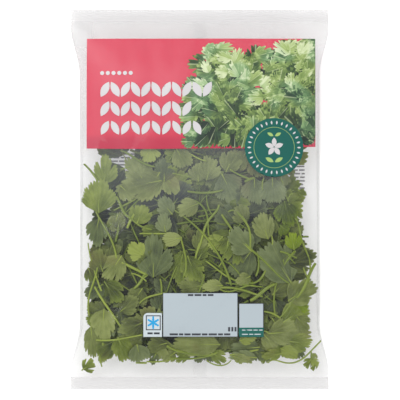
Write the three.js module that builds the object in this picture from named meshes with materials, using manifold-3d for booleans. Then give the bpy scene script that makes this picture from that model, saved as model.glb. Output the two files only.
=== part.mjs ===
// A sealed pillow bag of fresh cut coriander, lying on its back on a flat surface.
// Millimetres, +Z up, the bag's length along Y with its header at +Y. The origin is on the
// surface, under the middle of the bag.
//
// The bag is one web of clear film: a tube with a fin seam down its back, closed by a flat
// seal at each end. It holds a heap of loose leafy stems. Each stem is one solid, a tapered
// stalk with one or two leaves of three fan-shaped, toothed leaflets. The heap is dealt out
// in thin beds that share the height inside the film, so no stem crosses another.

import * as THREE from "three";
import { mergeVertices } from "three/addons/utils/BufferGeometryUtils.js";
import Module from "manifold-3d";

const wasm = await Module();
wasm.setup();

// ---- Driving dimensions ----

const BAG_LENGTH = 280;
const FLAT_WIDTH = 190; // across the end seals, where the tube lies flat
const FILLED_WIDTH = 176.8; // across the filled middle, whose sides pull in
const SEAL_LENGTH = 9;
const FLARE_START = 12.5; // from the end of the bag to where its sides start to pull in
const FLARE_LENGTH = 36;
const HALF_THICKNESS = 18.5; // half the height of the free pillow, before it rests flat
const CENTRE_HEIGHT = 12.5; // of the pillow's side folds over the surface
const SEAL_HEIGHT = 8;
const SEAL_DROOP = 0.12; // fall of an end seal, per mm of its length
const FOOT_RISE = 40; // from the bottom seal to the full thickness
const HEAD_RISE = 62; // the same at the header, which holds only air
const FILM = 0.6; // film wall, thickened from 0.04
const SIDE_FULLNESS = 2.6; // exponent of the pillow's cross-section, 2 for an ellipse

const FIN_WIDTH = 10; // of the back seam, a flap folded flat, which the bag rests on
const FIN_PROUD = 0.6;
const VENT_RADIUS = 2.5;
const VENT_X = 34;
const VENT_Y = 108;

const HEAP_INSET = 1.1; // from the outside of the film to the heap
const HEAP_FOOT = -121; // lowest and highest Y that leaves reach
const HEAP_HEAD = 58;
const HEAP_SIDE_GAP = 4.5; // between the heap and the side folds
const BEDS = 9;
const BED_GAP = 0.4; // kept free between one bed and the next
const STEMS_PER_BED = 4;
const FORKED_PER_BED = 1;
const TRIES_PER_STEM = 260;
const BEDS_SPREAD_OVER = 3; // a stem's leaf keeps away from the leaves of this many beds
const HEAP_SEED = 2113;

const BLADE = 0.7; // leaf blade, thickened from 0.25
const STALK_FOOT_RADIUS = 0.95;
const STALK_TIP_RADIUS = 0.6;
const STALK_SIDES = 5;
const STALK_STEPS = 6;
const TWIG_STEPS = 3;
const NECK_HALF_WIDTH = 0.6;
const HUB_RADIUS = 0.8;
const SIDE_CUT = 0.64; // radii of a leaflet's edge, in parts of its size
const TOOTH_CUT = 0.87;
const LOBE_CUT = 0.7;
const LATERAL_ANGLE = THREE.MathUtils.degToRad(95);

const RING_POINTS = 24;
const LEAF_GREENS = [0x5f7a2a, 0x6d8a33, 0x4f6c2c];

// ---- The pillow's surfaces ----

const clamp01 = (t) => Math.min(1, Math.max(0, t));
const smooth = (t) => t * t * (3 - 2 * t);
const mix = (a, b, t) => a + (b - a) * t;

// Distance from a seal's inner edge into the bag, negative inside the seal.
function depthIn(y) {
  return BAG_LENGTH / 2 - SEAL_LENGTH - Math.abs(y);
}

// How full the pillow is, from 0 at a seal to 1: a parabola over the rise at that end.
function fullness(y) {
  const t = clamp01(depthIn(y) / (y < 0 ? FOOT_RISE : HEAD_RISE));
  return 1 - (1 - t) ** 2;
}

function halfWidth(y) {
  const t = clamp01((BAG_LENGTH / 2 - FLARE_START - Math.abs(y)) / FLARE_LENGTH);
  return mix(FLAT_WIDTH, FILLED_WIDTH, smooth(t)) / 2;
}

function centreHeight(y) {
  const droop = Math.min(0, depthIn(y)) * SEAL_DROOP;
  return mix(SEAL_HEIGHT, CENTRE_HEIGHT, fullness(y)) + droop;
}

// Half the film-to-film height at a point, inset by a wall: h (1 - |x / w| ^ n) ^ 1/2.
function halfHeight(x, y, inset) {
  const side = Math.min(1, Math.abs(x) / (halfWidth(y) - inset));
  const middle = mix(FILM, HALF_THICKNESS, fullness(y)) - inset;
  return middle * Math.sqrt(1 - side ** SIDE_FULLNESS);
}

const restHeight = (inset) => FIN_PROUD + inset;
const topOf = (x, y, inset) => centreHeight(y) + halfHeight(x, y, inset);
const undersideOf = (x, y, inset) =>
  Math.max(restHeight(inset), centreHeight(y) - halfHeight(x, y, inset));

// ---- Meshes and solids ----

// Collects the corners and triangles of one closed surface.
class Surface {
  constructor() {
    this.corners = [];
    this.faces = [];
  }

  corner(x, y, z) {
    return this.corners.push(x, y, z) / 3 - 1;
  }

  face(a, b, c) {
    this.faces.push(a, b, c);
  }

  // A fan of triangles round a closed loop, from one of its corners or from an inner one.
  fan(centre, loop, flip = false) {
    loop.forEach((a, i) => {
      const b = loop[(i + 1) % loop.length];
      if (a !== centre && b !== centre) this.face(centre, flip ? b : a, flip ? a : b);
    });
  }

  // Joins two loops of equally many corners, seen from outside with `near` below `far`.
  wall(near, far) {
    near.forEach((a, i) => {
      const j = (i + 1) % near.length;
      this.face(a, near[j], far[j]);
      this.face(a, far[j], far[i]);
    });
  }

  solid() {
    const geometry = new THREE.BufferGeometry();
    geometry.setAttribute("position", new THREE.Float32BufferAttribute(this.corners, 3));
    geometry.setIndex(this.faces);
    return solidFrom(geometry);
  }
}

function solidFrom(geometry) {
  const bare = geometry.clone();
  bare.deleteAttribute("normal");
  bare.deleteAttribute("uv");
  const merged = mergeVertices(bare, 1e-4);
  return new wasm.Manifold(
    new wasm.Mesh({
      numProp: 3,
      vertProperties: new Float32Array(merged.attributes.position.array),
      triVerts: new Uint32Array(merged.index.array),
    }),
  );
}

function meshFrom(name, solid, material) {
  const { vertProperties, triVerts } = solid.getMesh();
  const geometry = new THREE.BufferGeometry();
  geometry.setAttribute("position", new THREE.BufferAttribute(vertProperties, 3));
  geometry.setIndex(new THREE.BufferAttribute(triVerts, 1));
  geometry.computeVertexNormals();
  const mesh = new THREE.Mesh(geometry, material);
  mesh.name = name;
  return mesh;
}

// ---- The film bag ----

// One closed loop of the pillow at y: x = w |cos a| ^ 2/n and z = c + h sin a, which lies
// on the surface of halfHeight, flattened where the bag rests on its back.
function pillowRing(surface, y, inset) {
  const w = halfWidth(y) - inset;
  const h = halfHeight(0, y, inset);
  return Array.from({ length: RING_POINTS }, (_, i) => {
    const angle = (2 * Math.PI * i) / RING_POINTS;
    const across = Math.sign(Math.cos(angle)) * Math.abs(Math.cos(angle)) ** (2 / SIDE_FULLNESS);
    const z = centreHeight(y) + h * Math.sin(angle);
    return surface.corner(w * across, y, Math.max(restHeight(inset), z));
  });
}

// The pillow from one end to the other, with a loop at each given Y.
function pillow(stations, inset) {
  const surface = new Surface();
  const rings = stations.map((y) => pillowRing(surface, y, inset));
  rings.slice(1).forEach((ring, i) => surface.wall(ring, rings[i]));
  surface.fan(rings[0][0], rings[0]);
  surface.fan(rings.at(-1)[0], rings.at(-1), true);
  return surface.solid();
}

// Y of the loops between two depths at both ends: closer together near the seals.
function stationsFrom(firstDepth) {
  const depths = [firstDepth, 2, 7, 14, 22, 31, 42, 56, 76, 100];
  const edge = BAG_LENGTH / 2 - SEAL_LENGTH;
  return [...depths.map((d) => d - edge), 0, ...depths.map((d) => edge - d).reverse()];
}

// The seam down the back: a flap that follows the underside, sunk into it by half a wall.
function finSeam() {
  const surface = new Surface();
  const rings = stationsFrom(0).map((y) => {
    const corner = (x, raise) => surface.corner(x, y, undersideOf(x, y, 0) + raise);
    const right = FIN_WIDTH / 2;
    return [
      corner(-right, -FIN_PROUD),
      corner(right, -FIN_PROUD),
      corner(right, FILM / 2),
      corner(-right, FILM / 2),
    ];
  });
  rings.slice(1).forEach((ring, i) => surface.wall(ring, rings[i]));
  surface.fan(rings[0][0], rings[0]);
  surface.fan(rings.at(-1)[0], rings.at(-1), true);
  return surface.solid();
}

function vents() {
  return [-VENT_X, VENT_X].map((x) => {
    const punch = new THREE.CylinderGeometry(VENT_RADIUS, VENT_RADIUS, CENTRE_HEIGHT, 12);
    punch.rotateX(Math.PI / 2).translate(x, VENT_Y, undersideOf(x, VENT_Y, 0));
    return solidFrom(punch);
  });
}

function filmBag() {
  const outside = pillow([-BAG_LENGTH / 2, ...stationsFrom(0), BAG_LENGTH / 2], 0);
  const inside = pillow(stationsFrom(1), FILM);
  const shell = outside.add(finSeam()).subtract(inside);
  return vents().reduce((bag, punch) => bag.subtract(punch), shell);
}

// ---- The heap's beds ----

// Height that one bed takes at a point of the heap.
function bedHeight(x, y) {
  return (topOf(x, y, HEAP_INSET) - undersideOf(x, y, HEAP_INSET)) / BEDS;
}

const bedMiddle = (x, y, bed) => undersideOf(x, y, HEAP_INSET) + (bed + 0.5) * bedHeight(x, y);

// How far something of this thickness may rise or sink in its bed.
const playIn = (x, y, thickness) => Math.max(0, (bedHeight(x, y) - BED_GAP - thickness) / 2);

// ---- Stalks ----

// The stalk as an arc that starts at the leaf's hub and runs back to the cut end.
// Its heading turns evenly by `bend`, so both coordinates are closed formulas of t.
function stalkPoint({ x, y, heading, bend, length }, t) {
  const back = heading + Math.PI;
  const radius = length / bend;
  return {
    x: x + radius * (Math.sin(back + bend * t) - Math.sin(back)),
    y: y - radius * (Math.cos(back + bend * t) - Math.cos(back)),
    heading: back + bend * t,
  };
}

// A tapered tube along the arc, that starts a little past the hub to sink into the blade.
function stalk(arc, bed, radii, steps) {
  const surface = new Surface();
  const rings = Array.from({ length: steps + 1 }, (_, i) => {
    const t = i === 0 ? -NECK_HALF_WIDTH / arc.length : i / steps;
    const at = stalkPoint(arc, t);
    const radius = mix(radii[0], radii[1], clamp01(t));
    const sway = arc.sway * Math.sin(Math.PI * clamp01(t)) * playIn(at.x, at.y, 2 * radius);
    const z = bedMiddle(at.x, at.y, bed) + sway;
    return Array.from({ length: STALK_SIDES }, (_, side) => {
      const angle = (2 * Math.PI * side) / STALK_SIDES;
      const across = radius * Math.cos(angle);
      return surface.corner(
        at.x - across * Math.sin(at.heading),
        at.y + across * Math.cos(at.heading),
        z + radius * Math.sin(angle),
      );
    });
  });
  rings.slice(1).forEach((ring, i) => surface.wall(rings[i], ring));
  surface.fan(rings[0][0], rings[0], true);
  surface.fan(rings.at(-1)[0], rings.at(-1));
  return surface.solid();
}

// ---- Leaves ----

// A leaflet's toothed fan as [angle, radius] from its base, in parts of its size: blunt
// teeth with a notch between each two, deeper between the lobes that they stand on.
function fanOutline(teethOfLobes, spread) {
  const teeth = teethOfLobes.reduce((sum, n) => sum + n);
  const width = (2 * spread) / teeth;
  const crown = (angle) => 1 - 0.1 * (angle / spread) ** 2;
  const outline = [[-spread, SIDE_CUT]];
  teethOfLobes.forEach((count) => {
    for (let tooth = 1; tooth <= count; tooth += 1) {
      const from = outline.at(-1)[0];
      const [rise, fall] = [from + 0.24 * width, from + 0.76 * width];
      const cut = tooth < count ? TOOTH_CUT : LOBE_CUT;
      outline.push([rise, crown(rise)], [fall, crown(fall)], [from + width, cut]);
    }
  });
  outline.at(-1)[1] = SIDE_CUT;
  return outline;
}

const LEAFLETS = [
  { turn: -LATERAL_ANGLE, neck: 4, share: 0.86, outline: fanOutline([1, 2, 1], 0.92) },
  { turn: 0, neck: 8, share: 1, outline: fanOutline([2, 2, 2], 1.05) },
  { turn: LATERAL_ANGLE, neck: 4, share: 0.86, outline: fanOutline([1, 2, 1], 0.92) },
];
const FAN_CENTRE = 0.35; // of a leaflet's inner corner along its rib

// One leaf of three leaflets on a hub, as a blade of even thickness. Each leaflet is a fan
// of triangles round an inner corner, which is raised or sunk to cup it.
function leaf({ x, y, heading, size, cups }, bed) {
  const surface = new Surface();

  // A corner on both faces, at (along, across) from the hub on a line turned by `turn`.
  const pair = (turn, along, across, lift) => {
    const angle = heading + turn;
    const px = x + along * Math.cos(angle) - across * Math.sin(angle);
    const py = y + along * Math.sin(angle) + across * Math.cos(angle);
    const z = bedMiddle(px, py, bed) + lift * playIn(px, py, BLADE);
    return [surface.corner(px, py, z + BLADE / 2), surface.corner(px, py, z - BLADE / 2)];
  };
  const bothFans = (centre, loop) => {
    surface.fan(centre[0], loop.map((p) => p[0]));
    surface.fan(centre[1], loop.map((p) => p[1]), true);
  };

  const edge = [];
  const hub = [];
  LEAFLETS.forEach(({ turn, neck, share, outline }, i) => {
    const reach = size * share;
    const hubRight = pair(turn, HUB_RADIUS, -NECK_HALF_WIDTH, 0);
    const hubLeft = pair(turn, HUB_RADIUS, NECK_HALF_WIDTH, 0);
    const baseRight = pair(turn, neck, -NECK_HALF_WIDTH, 0);
    const baseLeft = pair(turn, neck, NECK_HALF_WIDTH, 0);
    const rim = outline.map(([angle, radius]) => {
      const across = radius * Math.sin(angle);
      const lift = cups[i].rim + cups[i].tilt * across;
      return pair(turn, neck + reach * radius * Math.cos(angle), reach * across, lift);
    });
    const centre = pair(turn, neck + reach * FAN_CENTRE, 0, cups[i].centre);
    bothFans(centre, [baseRight, ...rim, baseLeft]);
    bothFans(hubRight, [hubRight, baseRight, baseLeft, hubLeft]);
    edge.push(hubRight, baseRight, ...rim, baseLeft, hubLeft);
    hub.push(hubRight, hubLeft);
  });
  bothFans(hub[0], hub);
  surface.wall(edge.map((p) => p[1]), edge.map((p) => p[0]));
  return surface.solid();
}

// ---- The stems of the heap ----

// Lehmer's random numbers from 0 to 1: one seed always deals the same heap.
function lehmer(seed) {
  let state = seed;
  return () => {
    state = (state * 48271) % 2147483647;
    return state / 2147483647;
  };
}

const draw = (random, low, high) => low + (high - low) * random();
const drawSign = (random) => (random() < 0.5 ? -1 : 1);

function drawCups(random) {
  return LEAFLETS.map(() => {
    const cup = draw(random, -0.6, 0.6);
    return { centre: cup, rim: -0.6 * cup, tilt: draw(random, -0.4, 0.4) };
  });
}

// One leafy stem: its main stalk's arc with a leaf at the hub and, if it is forked, a twig
// with a second, smaller leaf.
function drawStem(random, forked) {
  const main = {
    x: draw(random, -78, 78),
    y: draw(random, HEAP_FOOT + 8, HEAP_HEAD - 8),
    heading: draw(random, 0, 2 * Math.PI),
    bend: drawSign(random) * draw(random, 0.12, 1.2),
    length: draw(random, 42, 88),
    sway: draw(random, -0.8, 0.8),
    size: draw(random, 17.5, 22.5),
    cups: drawCups(random),
  };
  const fork = draw(random, 0.5, 0.72);
  const side = drawSign(random);
  const reach = draw(random, 24, 34);
  const angle = draw(random, 0.75, 1.05);
  const root = stalkPoint(main, fork);
  const heading = root.heading + Math.PI - side * angle;
  const twig = {
    x: root.x + reach * Math.cos(heading),
    y: root.y + reach * Math.sin(heading),
    heading,
    bend: 0.05 * side,
    length: reach,
    sway: 0,
    size: main.size * 0.84,
    cups: drawCups(random),
  };
  return forked ? [main, twig] : [main];
}

// Discs that cover a stem in plan: one for each leaflet and a row along each stalk.
function discsOf(stem) {
  return stem.flatMap((arm) => {
    const leaflets = LEAFLETS.map(({ turn, neck, share }) => {
      const out = neck + 0.56 * arm.size * share;
      return {
        x: arm.x + out * Math.cos(arm.heading + turn),
        y: arm.y + out * Math.sin(arm.heading + turn),
        r: 0.64 * arm.size * share,
        thickness: BLADE,
      };
    });
    const joints = Array.from({ length: 13 }, (_, i) => {
      const at = stalkPoint(arm, i / 12);
      return { x: at.x, y: at.y, r: 3, thickness: 2 * STALK_FOOT_RADIUS };
    });
    return [...leaflets, ...joints];
  });
}

// Whether a stem's leaflets keep clear of its other arm.
function clearOfItself([main, twig]) {
  if (!twig) return true;
  const [mains, twigs] = [discsOf([main]), discsOf([twig])];
  const leaflets = (discs) => discs.slice(0, LEAFLETS.length);
  const clear = (some, others) => some.every((a) => others.every((b) => apart(a, b)));
  return clear(leaflets(mains), twigs) && clear(leaflets(twigs), mains);
}

// Whether a disc lies in the heap, with its bed there high enough for it.
function fitsHeap({ x, y, r, thickness }) {
  if (y - r < HEAP_FOOT || y + r > HEAP_HEAD) return false;
  if (Math.abs(x) + r > halfWidth(y) - HEAP_SIDE_GAP) return false;
  const high = (px, py) => bedHeight(px, py) > thickness + BED_GAP;
  return high(Math.abs(x) + r, y) && high(x, y - r) && high(x, y + r);
}

const apart = (a, b) => Math.hypot(a.x - b.x, a.y - b.y) > a.r + b.r;

// Distance from a stem's leaf to the nearest of some others.
const roomAround = (stem, others) =>
  Math.min(...others.map((other) => Math.hypot(stem[0].x - other[0].x, stem[0].y - other[0].y)));

// Deals one bed: of the stems drawn that fit beside the ones already there, each time the
// one whose leaf lies furthest from the leaves near it in this bed and those just below.
function dealBed(random, below) {
  const kept = [];
  for (let place = 0; place < STEMS_PER_BED; place += 1) {
    const taken = kept.flatMap(discsOf);
    const near = [...below, ...kept];
    let best = null;
    for (let tries = 0; tries < TRIES_PER_STEM; tries += 1) {
      const stem = drawStem(random, place < FORKED_PER_BED);
      const better = !best || roomAround(stem, near) > roomAround(best, near);
      const fits = (disc) => fitsHeap(disc) && taken.every((other) => apart(disc, other));
      if (better && clearOfItself(stem) && discsOf(stem).every(fits)) best = stem;
    }
    if (best) kept.push(best);
  }
  return kept;
}

function leafyStem([main, twig], bed) {
  const mainRadii = [STALK_TIP_RADIUS, STALK_FOOT_RADIUS];
  const pieces = [leaf(main, bed), stalk(main, bed, mainRadii, STALK_STEPS)];
  if (twig) {
    const twigRadii = [STALK_TIP_RADIUS, STALK_TIP_RADIUS];
    pieces.push(leaf(twig, bed), stalk(twig, bed, twigRadii, TWIG_STEPS));
  }
  return wasm.Manifold.union(pieces);
}

// ---- The assembly ----

const coriander = new THREE.Group();

const film = new THREE.MeshStandardMaterial({
  color: 0xe6e7e3,
  roughness: 0.25,
  metalness: 0,
  transparent: true,
  opacity: 0.3,
});
coriander.add(meshFrom("film_bag", filmBag(), film));

const random = lehmer(HEAP_SEED);
const beds = [];
for (let bed = 0; bed < BEDS; bed += 1) {
  beds.push(dealBed(random, beds.slice(-BEDS_SPREAD_OVER).flat()));
  beds[bed].forEach((stem, i) => {
    const color = LEAF_GREENS[(bed + i) % LEAF_GREENS.length];
    const green = new THREE.MeshStandardMaterial({ color, roughness: 0.6, metalness: 0 });
    coriander.add(meshFrom(`stem_${bed + 1}_${i + 1}`, leafyStem(stem, bed), green));
  });
}

export default coriander;
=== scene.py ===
"""A sealed clear bag of cut coriander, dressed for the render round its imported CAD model.

Shapes are worked out in millimetres in the row frame, +Z up, the bag's length along Y with its
header at +Y, and go into Blender in metres. The bag's film is a function of its plan, and all
the rest is set out from it: the leaves lie in layers between its two panels, and the printing
lies on it.
"""

import logging
import math
from collections.abc import Callable, Iterable, Sequence
from dataclasses import dataclass, field, replace
from enum import Enum, IntEnum
from typing import Any, NamedTuple

import bpy
import numpy as np
from numpy.typing import NDArray
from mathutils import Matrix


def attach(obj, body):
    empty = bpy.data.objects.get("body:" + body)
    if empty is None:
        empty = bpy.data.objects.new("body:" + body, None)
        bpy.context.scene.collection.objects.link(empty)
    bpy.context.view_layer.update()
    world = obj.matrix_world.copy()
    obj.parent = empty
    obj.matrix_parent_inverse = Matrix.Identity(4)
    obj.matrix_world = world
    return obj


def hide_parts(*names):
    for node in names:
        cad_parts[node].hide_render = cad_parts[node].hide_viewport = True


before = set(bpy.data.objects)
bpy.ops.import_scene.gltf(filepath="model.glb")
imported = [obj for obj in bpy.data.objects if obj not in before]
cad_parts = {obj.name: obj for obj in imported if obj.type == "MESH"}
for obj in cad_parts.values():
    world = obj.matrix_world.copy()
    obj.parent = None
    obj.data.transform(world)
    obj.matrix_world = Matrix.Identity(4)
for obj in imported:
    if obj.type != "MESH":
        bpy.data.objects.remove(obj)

log = logging.getLogger("coriander")

Array = NDArray[np.float64]
Ints = NDArray[np.int64]
Number = Array | float
Pair = tuple[float, float]  # such as a lowest and a highest value
Sides = tuple[float, float, float, float]  # left, right, bottom and top
Colour = tuple[float, float, float]
Stops = Sequence[tuple[float, Colour]]
Material = bpy.types.Material
Random = np.random.Generator

METRES = 0.001  # one millimetre
SHARP = math.radians(75)  # faces that meet at more than this don't share their shading
END_CONE = 0.3  # how far a tube's closed ends stand out, by its radius
BODY = "root"
UV_MAP = "Surface"
SLOTS = ("leaf_mid", "leaf_light", "leaf_deep")


# ---------------- small formulas


def ramp(value: Number, low: float, high: float) -> Array:
    """The share of the way from low to high, held between 0 and 1."""
    return np.clip((np.asarray(value, float) - low) / (high - low), 0.0, 1.0)


def smooth(t: Array) -> Array:
    """A share eased at both ends: t^2 (3 - 2t)."""
    return t * t * (3.0 - 2.0 * t)


def mix(a: Number, b: Number, t: Number) -> Array:
    """The value a share t of the way from a to b."""
    return a + (b - a) * t


def away(x: float, y: float, heading: float, along: Number, across: Number = 0.0) -> tuple[Any, Any]:
    """The place reached from another by going along a heading, then across it to the left."""
    cosine, sine = math.cos(heading), math.sin(heading)
    return x + along * cosine - across * sine, y + along * sine + across * cosine


def sine_wave(place: Array, length: float, phase: float = 0.0) -> Array:
    """A sine wave of this length: sin(2 pi x / l + p)."""
    return np.sin(2 * np.pi * place / length + phase)


def points(*parts: Number) -> Array:
    """Coordinates as one array, whose last axis holds the parts, such as x, y and z."""
    return np.stack(np.broadcast_arrays(*parts), -1)


def around(count: int, start: float = 0.0) -> list[float]:
    """Angles that part a full turn evenly."""
    return [start + 2 * math.pi * i / count for i in range(count)]


# ---------------- meshes


@dataclass
class Shell:
    """Corners and faces of one or more closed surfaces, with what their finish reads."""

    points: Array  # corners in millimetres, one row each
    faces: list[Ints]  # arrays of corner numbers, each of three or four columns
    slots: list[int]
    uv: Array  # the corners' places in the UV map
    tone: Array  # what the finish turns into a shade

    def in_slot(self, slot: int) -> "Shell":
        """The same surface with all its faces in one material slot."""
        return Shell(self.points, self.faces, [slot] * len(self.faces), self.uv, self.tone)


def joined(shells: Iterable[Shell]) -> Shell:
    """Several shells as one, with the corner numbers of each moved past those before it.

    Args:
        shells: The shells, at least one.

    Returns:
        All their surfaces, in the same order.
    """
    parts = list(shells)
    starts = np.cumsum([0, *(len(p.points) for p in parts)])
    return Shell(
        np.concatenate([p.points for p in parts]),
        [f + s for p, s in zip(parts, starts) for f in p.faces],
        [slot for p in parts for slot in p.slots],
        np.concatenate([p.uv for p in parts]),
        np.concatenate([p.tone for p in parts]),
    )


def grid_faces(numbers: Ints) -> Ints:
    """Quads between neighbouring rows and columns of a grid of corner numbers.

    A grid whose rows run along X and whose columns run along Y faces up.
    """
    ring = [numbers[:-1, :-1], numbers[1:, :-1], numbers[1:, 1:], numbers[:-1, 1:]]
    return np.stack(ring, -1).reshape(-1, 4)


def closed_sheet(upper: Array, lower: Array, uv: Array, tone: Pair) -> Shell:
    """A thin closed surface from two grids that share their border.

    Args:
        upper: Corners of the face that looks up, as (rows, columns, 3).
        lower: Corners of the other face. Its border is taken from upper.
        uv: Places in the UV map, as (rows, columns, 2).
        tone: The tone of the upper and of the lower face.

    Returns:
        The sheet, whose faces point away from each other.
    """
    rows, columns = upper.shape[:2]
    front = np.arange(rows * columns).reshape(rows, columns)
    back = front.copy()
    inner = (rows - 2) * (columns - 2)
    back[1:-1, 1:-1] = rows * columns + np.arange(inner).reshape(rows - 2, columns - 2)
    corners = np.concatenate([upper.reshape(-1, 3), lower[1:-1, 1:-1].reshape(-1, 3)])
    places = np.concatenate([uv.reshape(-1, 2), uv[1:-1, 1:-1].reshape(-1, 2)])
    tones = np.repeat(tone, [rows * columns, inner])
    return Shell(corners, [grid_faces(front), grid_faces(back)[:, ::-1]], [0, 0], places, tones)


def slab(upper: Array, thickness: float, uv: Array, tone: Pair) -> Shell:
    """A closed sheet of even thickness under a grid."""
    return closed_sheet(upper, upper - [0.0, 0.0, thickness], uv, tone)


def tube(path: Array, radius: Array, sides: int, tone: float) -> Shell:
    """A round tube along a path that never runs straight up, closed by a cone at each end.

    At each point the section is r (cos a S + sin a U), where S is level and square to the
    path and U is square to both.

    Args:
        path: Points along the middle, as (steps, 3).
        radius: The tube's radius at each of them.
        sides: Number of corners round the section.
        tone: The tone of the whole tube.

    Returns:
        The tube, with its UV map's first number round it and its second along it.
    """
    along = np.gradient(path, axis=0)
    along /= np.linalg.norm(along, axis=1, keepdims=True)
    level = np.cross([0.0, 0.0, 1.0], along)
    level /= np.linalg.norm(level, axis=1, keepdims=True)
    up = np.cross(along, level)
    turn = np.linspace(0.0, 2 * np.pi, sides, endpoint=False)
    ring = np.cos(turn)[None, :, None] * level[:, None] + np.sin(turn)[None, :, None] * up[:, None]
    body = path[:, None] + radius[:, None, None] * ring
    count = len(path) * sides
    numbers = np.arange(count).reshape(len(path), sides)
    wrapped = np.concatenate([numbers, numbers[:, :1]], axis=1)
    ends = path[[0, -1]] + along[[0, -1]] * radius[[0, -1], None] * [[-END_CONE], [END_CONE]]
    start = np.stack([np.full(sides, count), wrapped[0, 1:], wrapped[0, :-1]], -1)
    stop = np.stack([np.full(sides, count + 1), wrapped[-1, :-1], wrapped[-1, 1:]], -1)
    steps = np.concatenate([[0.0], np.cumsum(np.linalg.norm(np.diff(path, axis=0), axis=1))])
    round_it, length = np.meshgrid(turn / (2 * np.pi), steps)
    uv = np.concatenate([np.stack([round_it, length], -1).reshape(-1, 2), [[0, 0], [0, steps[-1]]]])
    return Shell(
        np.concatenate([body.reshape(-1, 3), ends]),
        [grid_faces(wrapped)[:, ::-1], start, stop],
        [0, 0, 0],
        uv,
        np.full(count + 2, tone),
    )


def make_piece(
    name: str,
    shell: Shell,
    finishes: Sequence[Material],
    replaces: Sequence[str] = (),
) -> None:
    """Puts a shell into Blender as a piece of the part, at the origin, riding on its one body.

    Args:
        name: The object's name.
        shell: Its surface, in millimetres.
        finishes: Its materials, in the order of the shell's slots.
        replaces: The CAD nodes that it stands for.
    """
    mesh = bpy.data.meshes.new(name)
    sizes = np.concatenate([np.full(len(f), f.shape[1]) for f in shell.faces])
    corners = np.concatenate([f.ravel() for f in shell.faces])
    starts = np.concatenate([[0], np.cumsum(sizes)[:-1]])
    mesh.vertices.add(len(shell.points))
    mesh.vertices.foreach_set("co", (shell.points * METRES).ravel())
    mesh.loops.add(len(corners))
    mesh.loops.foreach_set("vertex_index", corners)
    mesh.polygons.add(len(sizes))
    mesh.polygons.foreach_set("loop_start", starts)
    slots = np.concatenate([np.full(len(f), s) for f, s in zip(shell.faces, shell.slots)])
    mesh.polygons.foreach_set("material_index", slots)
    mesh.polygons.foreach_set("use_smooth", np.ones(len(sizes), bool))
    mesh.update(calc_edges=True)
    mesh.set_sharp_from_angle(angle=SHARP)
    mesh.uv_layers.new(name=UV_MAP).uv.foreach_set("vector", shell.uv[corners].ravel())
    mesh.attributes.new("tone", "FLOAT", "POINT").data.foreach_set("value", shell.tone)
    for finish in finishes:
        mesh.materials.append(finish)
    piece = bpy.data.objects.new(name, mesh)
    bpy.context.scene.collection.objects.link(piece)
    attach(piece, BODY)
    if replaces:
        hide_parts(*replaces)
    log.info("%s: %d corners, %d faces", name, len(shell.points), len(sizes))


# ---------------- the pillow's shape


@dataclass(frozen=True)
class Pillow:
    """The filled bag's two film panels as heights over the surface, the same as in the CAD.

    A panel is c(y) +- h(x, y), with h = m(y) (1 - |x / w(y)| ^ n) ^ 1/2, held up where the
    bag rests on the seam down its back.
    """

    length: float = 280.0
    flat_width: float = 190.0
    filled_width: float = 176.8
    seal: float = 9.0
    flare_start: float = 12.5
    flare_length: float = 36.0
    half_thickness: float = 18.5
    centre_height: float = 12.5
    seal_height: float = 8.0
    seal_droop: float = 0.12
    foot_rise: float = 40.0
    head_rise: float = 62.0
    film: float = 0.6
    side_fullness: float = 2.6
    seam_proud: float = 0.6

    def depth_in(self, y: Array) -> Array:
        """Distance from a seal's inner edge into the bag, negative inside the seal."""
        return self.length / 2 - self.seal - np.abs(y)

    def fullness(self, y: Array) -> Array:
        """How full the pillow is, from 0 at a seal to 1: a parabola over the rise there."""
        rise = np.where(np.asarray(y) < 0, self.foot_rise, self.head_rise)
        return 1.0 - (1.0 - np.clip(self.depth_in(y) / rise, 0.0, 1.0)) ** 2

    def half_width(self, y: Array) -> Array:
        """Half the width between the side folds, which pull in from the seals."""
        depth = self.length / 2 - self.flare_start - np.abs(y)
        return mix(self.flat_width, self.filled_width, smooth(ramp(depth, 0, self.flare_length))) / 2

    def fold_height(self, y: Array) -> Array:
        """Height of the side folds, which sag a little inside the seals."""
        droop = np.minimum(0.0, self.depth_in(y)) * self.seal_droop
        return mix(self.seal_height, self.centre_height, self.fullness(y)) + droop

    def half_height(self, x: Array, y: Array, inset: float) -> Array:
        """Half the height from panel to panel.

        Args:
            x: Place across the bag.
            y: Place along it.
            inset: Thickness of a wall that it is taken inside of.

        Returns:
            The height.
        """
        side = np.minimum(1.0, np.abs(x) / (self.half_width(y) - inset))
        middle = mix(self.film, self.half_thickness, self.fullness(y)) - inset
        return middle * np.sqrt(1.0 - side**self.side_fullness)

    def top(self, x: Array, y: Array, inset: float = 0.0) -> Array:
        """Height of the front panel, inset by a wall."""
        return self.fold_height(y) + self.half_height(x, y, inset)

    def underside(self, x: Array, y: Array, inset: float = 0.0) -> Array:
        """Height of the back panel, inset by a wall."""
        rest = self.seam_proud + inset
        return np.maximum(rest, self.fold_height(y) - self.half_height(x, y, inset))


# ---------------- the heap as dealt in the CAD


@dataclass(frozen=True)
class Arm:
    """A stalk's arc, that runs back from a leaf's hub to its cut end, and that leaf's size."""

    x: float
    y: float
    heading: float
    bend: float
    length: float
    sway: float
    size: float

    def at(self, t: Number) -> tuple[Array, Array, Array]:
        """Place and heading a share t of the way back: an arc whose heading turns evenly.

        Args:
            t: Shares of the stalk's length.

        Returns:
            X, Y and heading at each of them.
        """
        back = self.heading + math.pi
        radius = self.length / self.bend
        turned = back + self.bend * np.asarray(t, float)
        x = self.x + radius * (np.sin(turned) - math.sin(back))
        y = self.y - radius * (np.cos(turned) - math.cos(back))
        return x, y, turned


@dataclass(frozen=True)
class LeafDetail:
    """How finely a leaf's surfaces are divided."""

    finer_teeth: int = 2
    steps_per_tooth: int = 5
    steps_out: int = 6
    stalk_sides: int = 8
    stalk_steps: int = 22


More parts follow.
